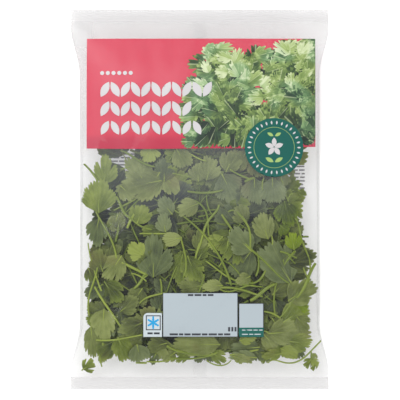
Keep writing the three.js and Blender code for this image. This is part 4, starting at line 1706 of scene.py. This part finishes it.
@dataclass(frozen=True)
class Badge:
    """The round green badge over the header's lower edge: a ring of dots round a flower."""

    bag: FilmBag
    x: float = 54.4
    y: float = 38.0
    radius: float = 21.5
    ring: float = 0.69
    ring_dashes: int = 72
    ring_dash: Pair = (1.35, 0.32)
    dots: int = 30
    dots_at: float = 0.85
    dot: Pair = (2.8, 1.25)
    leaves: tuple[tuple[float, float, float, float], ...] = ((3.4, -9.0, 6.6, 3.0), (2.8, 9.6, 5.0, 2.4))
    leaf_lean: float = 0.5
    petals: int = 5
    petals_at: float = 3.6
    petal: Pair = (6.6, 3.6)
    flower_up: float = 0.4

    OVER = 14  # inks, more than the header's petals lie over

    def make(self, inks: Sequence[Material]) -> None:
        """Makes the badge.

        Args:
            inks: Its materials, as in BadgeInk.
        """
        badge = FilmPrint(self.bag, "badge", inks)
        badge.add(disc(self.x, self.y, self.radius, 26), BadgeInk.GROUND, self.OVER)
        marks = []
        for turn in around(self.ring_dashes):
            x, y = away(self.x, self.y, turn, self.radius * self.ring)
            marks.append((strip(x, y, *self.ring_dash, turn + math.pi / 2), BadgeInk.LEAF))
        for turn in around(self.dots):
            x, y = away(self.x, self.y, turn, self.radius * self.dots_at)
            marks.append((petal(x, y, *self.dot, turn), BadgeInk.WHITE))
        for side in (-1, 1):
            for out, up, length, width in self.leaves:
                leaf = petal(self.x + side * out, self.y + up, length, width, side * self.leaf_lean)
                marks.append((leaf, BadgeInk.LEAF))
        for turn in around(self.petals, math.pi / 2):
            x, y = away(self.x, self.y + self.flower_up, turn, self.petals_at)
            marks.append((petal(x, y, *self.petal, turn), BadgeInk.WHITE))
        for mark, ink in marks:
            badge.add(mark, ink, self.OVER + 1)
        badge.make()


class LabelInk(IntEnum):
    """The labels' inks."""

    PANEL = 0
    SLATE = 1
    TEAL = 2
    TILE = 3
    SKY = 4


class Rules(NamedTuple):
    """A line of short dashes: its left end, its middle's Y, and their lengths, ink and half height."""

    x: float
    y: float
    lengths: tuple[float, ...]
    ink: LabelInk = LabelInk.SLATE
    half: float = 0.7


@dataclass(frozen=True)
class Labels:
    """The pale panel at the foot of the bag, with a small tile on each side of it."""

    bag: FilmBag
    panel: Sides = (-27.0, 27.8, -100.45, -68.1)
    right_tile: Sides = (28.6, 46.6, -100.2, -75.9)
    teal_bar: Sides = (28.5, 46.7, -100.5, -93.6)
    left_tile: Sides = (-41.2, -27.6, -100.4, -82.9)
    left_frame: Sides = (-39.4, -28.5, -95.5, -84.6)
    round_off: float = 3.2
    star: Pair = (-34.0, -90.0)
    arms: int = 6
    arm: tuple[float, float, float] = (2.2, 3.4, 1.7)  # where it stands, its length and its width
    tip: Pair = (3.9, 0.75)  # where the dot at an arm's end stands, and its radius
    hub: float = 1.4
    frames: tuple[float, float, float] = (0.35, 0.3, 0.7)  # widths: panel, right tile and star
    dash_gap: float = 0.9
    rules: tuple[Rules, ...] = (
        Rules(-8.6, -69.75, (3.9, 5.0, 2.8, 4.2)),
        Rules(-22.0, -98.5, (6, 3, 4.5, 6.5, 4, 6, 3.5, 4.5)),
        Rules(20.7, -94.75, (1.5, 1.4, 1.4), half=1.6),
    )
    bar_rules: tuple[Rules, ...] = (
        Rules(30.8, -95.4, (2.6, 4.0, 3.2, 2.6), LabelInk.TILE, 0.35),
        Rules(30.8, -98.5, (4.4, 3.0, 4.6), LabelInk.TILE, 0.35),
    )
    tile_rules: tuple[Rules, ...] = (Rules(-38.2, -97.8, (3.8, 4.2)),)

    def frame(self, label: FilmPrint, sides: Sides, width: float) -> None:
        """Prints a thin dark frame just inside a rectangle.

        Args:
            label: The print that it goes into.
            sides: The rectangle.
            width: The frame's width.
        """
        left, right, bottom, top = sides
        label.add(bar(left, left + width, bottom, top), LabelInk.SLATE, 2)
        label.add(bar(right - width, right, bottom, top), LabelInk.SLATE, 2)
        label.add(bar(left, right, bottom, bottom + width), LabelInk.SLATE, 2)
        label.add(bar(left, right, top - width, top), LabelInk.SLATE, 2)

    def add_rules(self, label: FilmPrint, lines: Sequence[Rules]) -> None:
        """Prints lines of dashes.

        Args:
            label: The print that they go into.
            lines: The lines.
        """
        for line in lines:
            x = line.x
            for length in line.lengths:
                label.add(bar(x, x + length, line.y - line.half, line.y + line.half), line.ink, 4)
                x += length + self.dash_gap

    def tile(self, label: FilmPrint) -> None:
        """Prints the left tile, rounded at its top left, with a frost star in a frame.

        Args:
            label: The print that it goes into.
        """
        left, right, bottom, top = self.left_tile
        inner, upper = left + self.round_off, top - self.round_off
        label.add(bar(inner, right, bottom, top), LabelInk.TILE, 1)
        label.add(bar(left, inner, bottom, upper), LabelInk.TILE, 1)
        label.add(disc(inner, upper, self.round_off), LabelInk.TILE, 0)
        self.frame(label, self.left_frame, self.frames[2])
        for turn in around(self.arms, math.pi / 6):
            label.add(petal(*away(*self.star, turn, self.arm[0]), *self.arm[1:], turn), LabelInk.SKY, 2)
            label.add(disc(*away(*self.star, turn, self.tip[0]), self.tip[1], 6), LabelInk.SKY, 3)
        label.add(disc(*self.star, self.hub, 6), LabelInk.SKY, 3)
        self.add_rules(label, self.tile_rules)

    def make(self, inks: Sequence[Material]) -> None:
        """Makes the panel, its frames and rules and the two tiles, as one piece.

        Args:
            inks: Its materials, as in LabelInk.
        """
        label = FilmPrint(self.bag, "labels", inks)
        label.add(bar(*self.panel), LabelInk.PANEL, 1)
        self.frame(label, self.panel, self.frames[0])
        self.add_rules(label, self.rules)
        label.add(bar(*self.right_tile), LabelInk.PANEL, 1)
        self.frame(label, self.right_tile, self.frames[1])
        label.add(bar(*self.teal_bar), LabelInk.TEAL, 3)
        self.add_rules(label, self.bar_rules)
        self.tile(label)
        label.make()


@dataclass(frozen=True)
class BackPrint:
    """Rows of small grey dashes on the back panel, in two blocks beside the seam."""

    bag: FilmBag
    blocks: tuple[Sides, ...] = ((-72.0, -12.0, 4.0, 33.6), (12.0, 77.6, -1.0, 35.0))
    pitch: float = 2.65
    height: float = 1.15
    lengths: Pair = (2.0, 7.5)
    gap: float = 0.9
    indent: float = 6.0
    shortest: float = 2.0
    seed: int = 31

    def make(self, ink: Material) -> None:
        """Makes the rows, each a line of dashes of uneven length.

        Args:
            ink: Their finish.
        """
        block = FilmPrint(self.bag, "back_print", (ink,), Panel.BACK)
        random = np.random.default_rng(self.seed)
        for left, right, bottom, top in self.blocks:
            for y in np.arange(top, bottom, -self.pitch):
                x = left + random.uniform(0.0, self.indent)
                while x < right - self.shortest:
                    length = min(random.uniform(*self.lengths), right - x)
                    block.add(bar(x, x + length, y - self.height / 2, y + self.height / 2, 4.0))
                    x += length + self.gap
        block.make()


# ---------------- finishes


@dataclass(frozen=True)
class Value:
    """A socket in a shader. Arithmetic on it adds Math nodes."""

    graph: "Graph"
    socket: bpy.types.NodeSocket

    def math(self, operation: str, first: Any, second: Any = 0.0) -> "Value":
        """The result of a Math node."""
        return self.graph.node("ShaderNodeMath", {"operation": operation}, {0: first, 1: second})

    def __add__(self, other: Any) -> "Value":
        """This plus another."""
        return self.math("ADD", self, other)

    __radd__ = __add__

    def __sub__(self, other: Any) -> "Value":
        """This less another."""
        return self.math("SUBTRACT", self, other)

    def __rsub__(self, other: Any) -> "Value":
        """Another less this."""
        return self.math("SUBTRACT", other, self)

    def __mul__(self, other: Any) -> "Value":
        """This times another."""
        return self.math("MULTIPLY", self, other)

    __rmul__ = __mul__

    def __abs__(self) -> "Value":
        """This without its sign."""
        return self.math("ABSOLUTE", self)

    def fraction(self) -> "Value":
        """What this has past its whole part."""
        return self.math("FRACT", self)

    def at_most(self, limit: float) -> "Value":
        """This, or the limit where this is more."""
        return self.math("MINIMUM", self, limit)

    def step(self, low: float, high: float) -> "Value":
        """An eased share of the way from low to high, held between 0 and 1."""
        limits = {"Value": self, "From Min": low, "From Max": high}
        return self.graph.node("ShaderNodeMapRange", {"interpolation_type": "SMOOTHSTEP"}, limits)


class Graph:
    """The node tree of one material."""

    def __init__(self, name: str) -> None:
        """Starts a material with an empty tree.

        Args:
            name: The material's name.
        """
        self.material = bpy.data.materials.new(name)
        self.material.use_nodes = True
        self.tree = self.material.node_tree
        self.tree.nodes.clear()

    def node(
        self, kind: str, settings: dict[str, Any], inputs: dict[str | int, Any], output: str | int = 0
    ) -> Value:
        """Adds a node.

        Args:
            kind: Its type.
            settings: What is set on the node itself. "stops" are a colour ramp's stops.
            inputs: The value or link of each socket, by name or number.
            output: Which of its outputs is wanted.

        Returns:
            That output.
        """
        node = self.tree.nodes.new(kind)
        for key, value in settings.items():
            if key == "stops":
                self.set_stops(node.color_ramp.elements, value)
            else:
                setattr(node, key, value)
        for key, value in inputs.items():
            socket = node.inputs[key]
            if isinstance(value, Value):
                self.tree.links.new(value.socket, socket)
            elif isinstance(value, tuple) and socket.type == "RGBA":
                socket.default_value = (*value, 1.0)
            else:
                socket.default_value = value
        return Value(self, node.outputs[output])

    @staticmethod
    def set_stops(elements: Any, stops: Stops) -> None:
        """Gives a colour ramp its stops.

        Args:
            elements: The ramp's own stops, of which a new ramp has two.
            stops: Place and colour of each.
        """
        while len(elements) < len(stops):
            elements.new(1.0)
        for element, (place, colour) in zip(elements, stops):
            element.position = place
            element.color = (*colour, 1.0)

    def millimetres(self) -> Value:
        """The piece's own coordinates, in millimetres."""
        metres = self.node("ShaderNodeTexCoord", {}, {}, "Object")
        return self.node("ShaderNodeVectorMath", {"operation": "SCALE"}, {0: metres, "Scale": 1 / METRES})

    def noise(self, place: Value, scale: float, detail: float = 2.0) -> Value:
        """Soft noise from 0 to 1 with this many cells to a unit of its coordinates."""
        return self.node("ShaderNodeTexNoise", {}, {"Vector": place, "Scale": scale, "Detail": detail})

    def tone(self) -> Value:
        """The shade that the mesh holds for each corner."""
        return self.node("ShaderNodeAttribute", {"attribute_name": "tone"}, {}, "Fac")

    def split(self, vector: Value) -> tuple[Value, Value, Value]:
        """A vector's three numbers."""
        first = self.node("ShaderNodeSeparateXYZ", {}, {0: vector})
        return tuple(Value(self, socket) for socket in first.socket.node.outputs)

    def surface_uv(self) -> tuple[Value, Value]:
        """The two numbers of the piece's UV map."""
        return self.split(self.node("ShaderNodeUVMap", {"uv_map": UV_MAP}, {}))[:2]

    def colours(self, share: Value, stops: Stops) -> Value:
        """A colour ramp read at a share."""
        return self.node("ShaderNodeValToRGB", {"stops": stops}, {0: share})

    def blend(self, share: Any, first: Any, second: Any) -> Value:
        """One colour going over to another."""
        return self.node("ShaderNodeMix", {"data_type": "RGBA"}, {0: share, 6: first, 7: second}, 2)

    def bump(self, height: Value, distance: float, strength: float = 1.0) -> Value:
        """A bumped normal from a height from 0 to 1, that stands for a distance in metres."""
        sockets = {"Height": height, "Distance": distance, "Strength": strength}
        return self.node("ShaderNodeBump", {}, sockets)

    def principled(self, **inputs: Any) -> Value:
        """A Principled shader. Its sockets' names are given with _ for each space."""
        named = {key.replace("_", " "): value for key, value in inputs.items()}
        return self.node("ShaderNodeBsdfPrincipled", {}, named)

    def mixed(self, share: Any, first: Value, second: Value) -> Value:
        """A mix of two shaders."""
        return self.node("ShaderNodeMixShader", {}, {0: share, 1: first, 2: second})

    def finish(self, surface: Value) -> Material:
        """Ends the tree with its output.

        Args:
            surface: The shader of the surface.

        Returns:
            The material.
        """
        output = self.tree.nodes.new("ShaderNodeOutputMaterial")
        self.tree.links.new(surface.socket, output.inputs["Surface"])
        return self.material


@dataclass(frozen=True)
class LeafFinish:
    """A coriander blade: soft green, paler where its veins fan out, a little light through it.

    Its blade has pleats between the veins, in bump and in painted shade, and a few dull brownish patches.
    """

    name: str
    dark: Colour
    middle: Colour
    pale: Colour
    through: Colour = (0.30, 0.42, 0.03)
    vein: Colour = (0.36, 0.42, 0.13)
    worn: Colour = (0.27, 0.22, 0.075)
    lit_through: float = 0.15

    def material(self) -> Material:
        """Builds the finish. The UV map counts teeth, so each tooth gets its own vein.

        Returns:
            The material.
        """
        g = Graph(self.name)
        place = g.millimetres()
        tooth, out = g.surface_uv()
        blotch, grain, drift = g.noise(place, 0.11), g.noise(place, 1.3, 3.0), g.noise(place, 0.035)
        # the tone brings in the heap's painted light and shade
        shade = g.tone() + (blotch - 0.5) * 0.85 + (drift - 0.5) * 0.5 + (grain - 0.5) * 0.25
        # painted shade of pleats between the veins; the same wave bumps the blade
        pleat_bump_and_painted_shade = abs((tooth * 0.5 + 0.25).fraction() - 0.5)
        shade = shade + (out - 0.62) * 0.3 + (pleat_bump_and_painted_shade - 0.25) * out.step(0.2, 0.9) * 0.26
        base = g.colours(shade, [(0.0, self.dark), (0.5, self.middle), (1.0, self.pale)])
        from_vein = abs(tooth.fraction() - 0.5) * out
        fine = (1.0 - from_vein.step(0.02, 0.09)) * out.step(0.35, 0.6)
        from_rib = abs((tooth * 0.25).fraction() - 0.5) * out
        rib = 1.0 - from_rib.step(0.008, 0.03)
        veins = (fine * 0.2 + rib * 0.42) * (1.0 - out.step(0.9, 1.0))
        rimmed = g.blend(out.step(0.84, 1.0) * 0.3, base, self.pale)
        patches = (1.0 - g.noise(place, 0.039, 1.0)).step(0.6, 0.72) * 0.34
        colour = g.blend(veins, g.blend(patches, rimmed, self.worn), self.vein)
        blade = g.principled(
            Base_Color=colour,
            Roughness=0.42 + grain * 0.2,
            Specular_IOR_Level=0.35,
            Normal=g.bump(veins * -0.5 + grain * 0.5 + blotch * 1.2 + pleat_bump_and_painted_shade * 0.8, 0.0006, 0.7),
        )
        through = g.node("ShaderNodeBsdfTranslucent", {}, {"Color": self.through})
        return g.finish(g.mixed(self.lit_through, blade, through))


@dataclass(frozen=True)
class StalkFinish:
    """A fresh green stalk, streaked along its length and whitish where it was cut."""

    name: str
    shaded: Colour = (0.07, 0.11, 0.008)
    deep: Colour = (0.2, 0.28, 0.025)
    bright: Colour = (0.42, 0.52, 0.075)
    cut: Colour = (0.55, 0.6, 0.32)

    def material(self) -> Material:
        """Builds the finish from the UV map, round and along the stalk.

        Returns:
            The material.
        """
        g = Graph(self.name)
        round_it, along = g.surface_uv()
        streak = g.noise(g.node("ShaderNodeCombineXYZ", {}, {0: round_it * 9.0, 1: along * 0.06}), 1.0)
        patch = g.noise(g.millimetres(), 0.05)
        tone = g.tone()
        # low tones, which the stalks inside the heap have, paint them in shade
        shade = streak * 0.35 + patch * 0.5 + tone * 0.9
        base = g.colours(shade, [(0.3, self.shaded), (0.6, self.deep), (0.95, self.bright)])
        surface = g.principled(
            Base_Color=g.blend(tone.step(0.7, 0.95), base, self.cut),
            Roughness=0.34 + streak * 0.15,
            Specular_IOR_Level=0.45,
            Normal=g.bump(streak, 0.0003, 0.7),
        )
        return g.finish(surface)


@dataclass(frozen=True)
class FilmFinish:
    """Clear film: a soft gloss over air with a faint white haze, thicker in the seals.

    The haze is thicker too over the bag's middle, near its head and in its left side fold.
    """

    name: str
    haze: float = 0.017
    milk: float = 0.17
    tint: Colour = (0.905, 0.903, 0.902)
    gloss: float = 0.6
    most_gloss: float = 0.24
    # the haze's colour; its blue tint is a painted reflection of a bluish sky
    white: Colour = (0.7, 0.74, 0.88)
    sealed: Colour = (0.76, 0.75, 0.755)
    seal_edge: Pair = (130.4, 131.4)  # where the seals' haze begins and is full
    head: Pair = (108.0, 119.0)  # the same for the head's haze
    fold: Pair = (76.0, 84.0)  # and for the left fold's, sideways
    fold_up: Pair = (25.0, 50.0)  # and along the bag
    vent_x: float = 34.0
    vent_y: float = 108.0
    vent_radius: float = 2.5

    def vents(self, x: Value, y: Value, z: Value) -> Value:
        """Where the back panel's two vents are: 1 in a vent and 0 elsewhere.

        Args:
            x, y, z: Place on the film.

        Returns:
            The share of the film that is cut away.
        """
        across, along = abs(x) - self.vent_x, y - self.vent_y
        reach = across * across + along * along
        area = self.vent_radius**2
        return (1.0 - reach.step(area - 1.0, area)) * (1.0 - z.step(9.0, 10.0))

    def material(self) -> Material:
        """Builds the finish: clear, then white by the haze, then a mirror by the angle.

        Returns:
            The material.
        """
        g = Graph(self.name)
        place = g.millimetres()
        x, y, z = g.split(place)
        film = 1.0 - self.vents(x, y, z)
        cloud = g.noise(place, 0.03)
        seal = abs(y).step(*self.seal_edge)
        crimp = abs((y * 0.37).fraction() - 0.5)
        middle = y.step(-34.0, 20.0) * (1.0 - abs(x + 6.0).step(56.0, 90.0))
        left_fold = (0.0 - x).step(*self.fold) * y.step(*self.fold_up)
        milky = seal * (1.6 + crimp * 0.4) + (1.0 - seal) * (y.step(*self.head) + left_fold * 1.2)
        haze = (cloud * 0.7 + 0.65) * (1.0 + middle * 5.0) * self.haze + milky * self.milk
        wrinkle = g.noise(place, 0.07, 3.0) * (1.0 - seal)
        plastic = g.principled(
            # outside the seals the haze takes the painted bluish reflection
            Base_Color=g.blend(milky.step(0.0, 0.5), self.white, self.sealed),
            Roughness=0.35 + cloud * 0.1,
            Specular_IOR_Level=0.3,
            Normal=g.bump(wrinkle, 0.0012, 0.4),
        )
        clear = g.node("ShaderNodeBsdfTransparent", {}, {"Color": self.tint})
        gleam = {"Roughness": 0.12, "Normal": g.bump(wrinkle, 0.0012, 0.5)}
        mirror = g.node("ShaderNodeBsdfGlossy", {}, gleam)
        angle = g.node("ShaderNodeFresnel", {}, {"IOR": 1.36})
        shine = (angle * self.gloss).at_most(self.most_gloss)
        return g.finish(g.mixed(shine * film, g.mixed(haze * film, clear, plastic), mirror))


@dataclass(frozen=True)
class InkFinish:
    """Printing ink on film: nearly flat colour, with a fine screen and soft unevenness."""

    name: str
    stops: Stops
    cover: float = 1.0

    def material(self) -> Material:
        """Builds the finish.

        Returns:
            The material.
        """
        g = Graph(self.name)
        place = g.millimetres()
        cloud, screen = g.noise(place, 0.03), g.noise(place, 2.2, 1.0)
        shade = g.tone() + (cloud - 0.5) * 0.3 + (screen - 0.5) * 0.12
        surface = g.principled(
            Base_Color=g.colours(shade, self.stops),
            Roughness=0.32 + cloud * 0.12,
            Specular_IOR_Level=0.4,
            Alpha=self.cover,
        )
        return g.finish(surface)


@dataclass(frozen=True)
class LeafInkFinish:
    """Printed leaves: one half of each in light, the other in shade, along a pale midrib."""

    name: str
    stops: Stops
    cool_stops: Stops  # of its bluer patches

    def material(self) -> Material:
        """Builds the finish from each motif's UV map, along and across the leaf.

        Returns:
            The material.
        """
        g = Graph(self.name)
        place = g.millimetres()
        along, across = g.surface_uv()
        cloud = g.noise(place, 0.09)
        lit = across.step(0.46, 0.54)
        grooves = 1.0 - abs((across * 7.0).fraction() - 0.5).step(0.03, 0.14)
        shade = g.tone() + (lit - 0.5) * 0.16 + (cloud - 0.5) * 0.55 + grooves * 0.1
        shade = shade + along.step(0.72, 0.98) * 0.14 - (1.0 - along.step(0.0, 0.35)) * 0.12
        shade = shade + g.noise(place, 0.2, 1.0).step(0.56, 0.7) * 0.22
        cool = g.noise(place, 0.045, 1.0).step(0.5, 0.62) * 0.75
        greens = g.blend(cool, g.colours(shade, self.stops), g.colours(shade, self.cool_stops))
        ribs = 1.0 - abs(across - 0.5).step(0.008, 0.03)
        colour = g.blend(ribs * 0.4, greens, self.stops[-1][1])
        return g.finish(g.principled(Base_Color=colour, Roughness=0.35 + cloud * 0.1))


# ---------------- the stage


class SoftBox(NamedTuple):
    """A square light that looks at the origin: its name, place, size in metres and power in watts."""

    name: str
    place: tuple[float, float, float]
    size: float
    watts: float


@dataclass(frozen=True)
class Stage:
    """A plain pale floor, soft light from all round and above, and the camera, in metres."""

    distance: float = 2.4
    view_height: float = 0.010
    half_view: float = 0.1473
    aim: Pair = (0.00018, -0.00037)
    sensor: float = 36.0
    floor_size: float = 6.0
    floor_glow: float = 0.47
    floor_greys: Pair = (0.9, 0.92)
    sky: float = 0.6
    boxes: tuple[SoftBox, ...] = (
        SoftBox("key_light", (-1.4, 1.46, 2.92), 1.95, 58.0),
        SoftBox("fill_light", (1.4, -1.4, 2.8), 2.4, 18.0),
    )

    def floor(self) -> None:
        """The floor, a plain sheet under everything."""
        half = self.floor_size / 2
        mesh = bpy.data.meshes.new("floor")
        corners = [(-half, -half, 0.0), (half, -half, 0.0), (half, half, 0.0), (-half, half, 0.0)]
        mesh.from_pydata(corners, [], [(0, 1, 2, 3)])
        g = Graph("pale_floor")
        stops = [(float(i), (grey,) * 3) for i, grey in enumerate(self.floor_greys)]
        shade = g.colours(g.noise(g.millimetres(), 0.004), stops)
        glow = {"Emission_Color": (1.0, 1.0, 1.0), "Emission_Strength": self.floor_glow}
        mesh.materials.append(g.finish(g.principled(Base_Color=shade, Roughness=0.8, **glow)))
        floor = bpy.data.objects.new("floor", mesh)
        bpy.context.scene.collection.objects.link(floor)

    def light(self) -> None:
        """An even white sky and the soft boxes."""
        world = bpy.data.worlds.new("soft_sky")
        world.use_nodes = True
        background = world.node_tree.nodes["Background"]
        background.inputs["Color"].default_value = (1.0, 1.0, 1.0, 1.0)
        background.inputs["Strength"].default_value = self.sky
        bpy.context.scene.world = world
        for box in self.boxes:
            light = bpy.data.lights.new(box.name, "AREA")
            light.shape = "SQUARE"
            light.size = box.size
            light.energy = box.watts
            lamp = bpy.data.objects.new(box.name, light)
            lamp.location = box.place
            lamp.rotation_euler = (-lamp.location).to_track_quat("-Z", "Y").to_euler()
            bpy.context.scene.collection.objects.link(lamp)

    def camera(self) -> None:
        """The camera straight over the bag, with its head at the top of the picture."""
        data = bpy.data.cameras.new("camera")
        data.sensor_width = self.sensor
        data.lens = self.sensor / 2 * self.distance / self.half_view
        camera = bpy.data.objects.new("camera", data)
        camera.location = (*self.aim, self.distance + self.view_height)
        bpy.context.scene.collection.objects.link(camera)
        bpy.context.scene.camera = camera
        bpy.context.scene.view_settings.view_transform = "Standard"

    def make(self) -> None:
        """Sets the stage."""
        self.camera()
        self.floor()
        self.light()


# ---------------- the whole


LEAF_FINISHES = (
    LeafFinish("leaf_mid", (0.023, 0.032, 0.012), (0.18, 0.224, 0.047), (0.41, 0.475, 0.145)),
    LeafFinish("leaf_light", (0.025, 0.04, 0.01), (0.184, 0.25, 0.024), (0.43, 0.52, 0.1)),
    LeafFinish("leaf_deep", (0.021, 0.032, 0.018), (0.148, 0.196, 0.066), (0.32, 0.385, 0.16)),
    LeafFinish("leaf_vivid", (0.04, 0.07, 0.003), (0.2, 0.3, 0.004), (0.36, 0.5, 0.012)),
)

# The print's warm and cool greens, by tone.
GREENS = (
    (0.0, (0.015, 0.03, 0.02)), (0.22, (0.045, 0.09, 0.035)), (0.48, (0.18, 0.275, 0.075)),
    (0.72, (0.38, 0.5, 0.17)), (1.0, (0.68, 0.77, 0.46)),
)
COOL_GREENS = (
    (0.0, (0.012, 0.028, 0.022)), (0.22, (0.035, 0.085, 0.05)), (0.48, (0.12, 0.25, 0.12)),
    (0.72, (0.31, 0.49, 0.25)), (1.0, (0.68, 0.77, 0.52)),
)

CORAL = ((0.0, (0.64, 0.055, 0.11)), (0.4, (0.79, 0.075, 0.13)), (1.0, (0.85, 0.095, 0.155)))
CORAL_COVER, GREY_COVER = 0.74, 0.6

# Each plain ink's darkest and lightest colour.
INKS = {
    "white": ((0.64, 0.62, 0.63), (0.73, 0.71, 0.72)),
    "forest": ((0.001, 0.09, 0.068), (0.005, 0.15, 0.122)),
    "lime": ((0.3, 0.5, 0.12), (0.5, 0.66, 0.25)),
    "panel": ((0.44, 0.51, 0.55), (0.5, 0.57, 0.61)),
    "slate": ((0.03, 0.035, 0.045), (0.06, 0.065, 0.08)),
    "tile": ((0.58, 0.66, 0.7), (0.66, 0.73, 0.76)),
    "sky": ((0.005, 0.32, 0.68), (0.02, 0.42, 0.78)),
    "grey": ((0.3, 0.29, 0.31), (0.42, 0.41, 0.43)),
}


def fill(pillow: Pillow) -> None:
    """Makes the stems, the loose leaves between them and the layer in sight.

    Args:
        pillow: The bag that they fill.
    """
    heap, stalk = Heap(pillow), StalkFinish("green_stalk").material()
    leaves = {finish.name: finish.material() for finish in LEAF_FINISHES}
    dresser = StemDresser(heap, leaves, stalk)
    dresser.replace_stems()
    dresser.add_loose()
    TopLayer(heap, tuple(leaves.values()), stalk).make()


def wrap(pillow: Pillow) -> FilmBag:
    """Makes the film and its fin seam.

    Args:
        pillow: The bag's shape.

    Returns:
        The film as it was laid, which its printing follows.
    """
    bag = FilmBag(replace(pillow, film=0.15))
    make_piece("film_skin", bag.skin(), (FilmFinish("clear_film").material(),), ("film_bag",))
    thin = FilmFinish("seam_film", haze=0.0, milk=0.0, tint=(0.997, 0.997, 0.997), gloss=0.12)
    make_piece("fin_seam", bag.seam(), (thin.material(),))
    return bag


def print_on(bag: FilmBag) -> None:
    """Makes all the printing.

    Args:
        bag: The film that it lies on.
    """
    covers = {"grey": GREY_COVER}
    inks = {
        name: InkFinish(f"{name}_ink", ((0.0, dark), (1.0, light)), covers.get(name, 1.0)).material()
        for name, (dark, light) in INKS.items()
    }
    header = Header(bag)
    header.band(InkFinish("coral_ink", CORAL, CORAL_COVER).material())
    header.foliage(LeafInkFinish("leaf_ink", GREENS, COOL_GREENS).material())
    header.petals(inks["white"])
    Badge(bag).make([inks[name] for name in ("forest", "lime", "white")])
    Labels(bag).make([inks[name] for name in ("panel", "slate", "forest", "tile", "sky")])
    BackPrint(bag).make(inks["grey"])


def main() -> None:
    """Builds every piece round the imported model."""
    logging.basicConfig(level=logging.INFO, format="%(message)s")
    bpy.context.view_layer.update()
    Stage().make()
    pillow = Pillow()
    fill(pillow)
    print_on(wrap(pillow))
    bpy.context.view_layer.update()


if __name__ == "__main__":
    main()
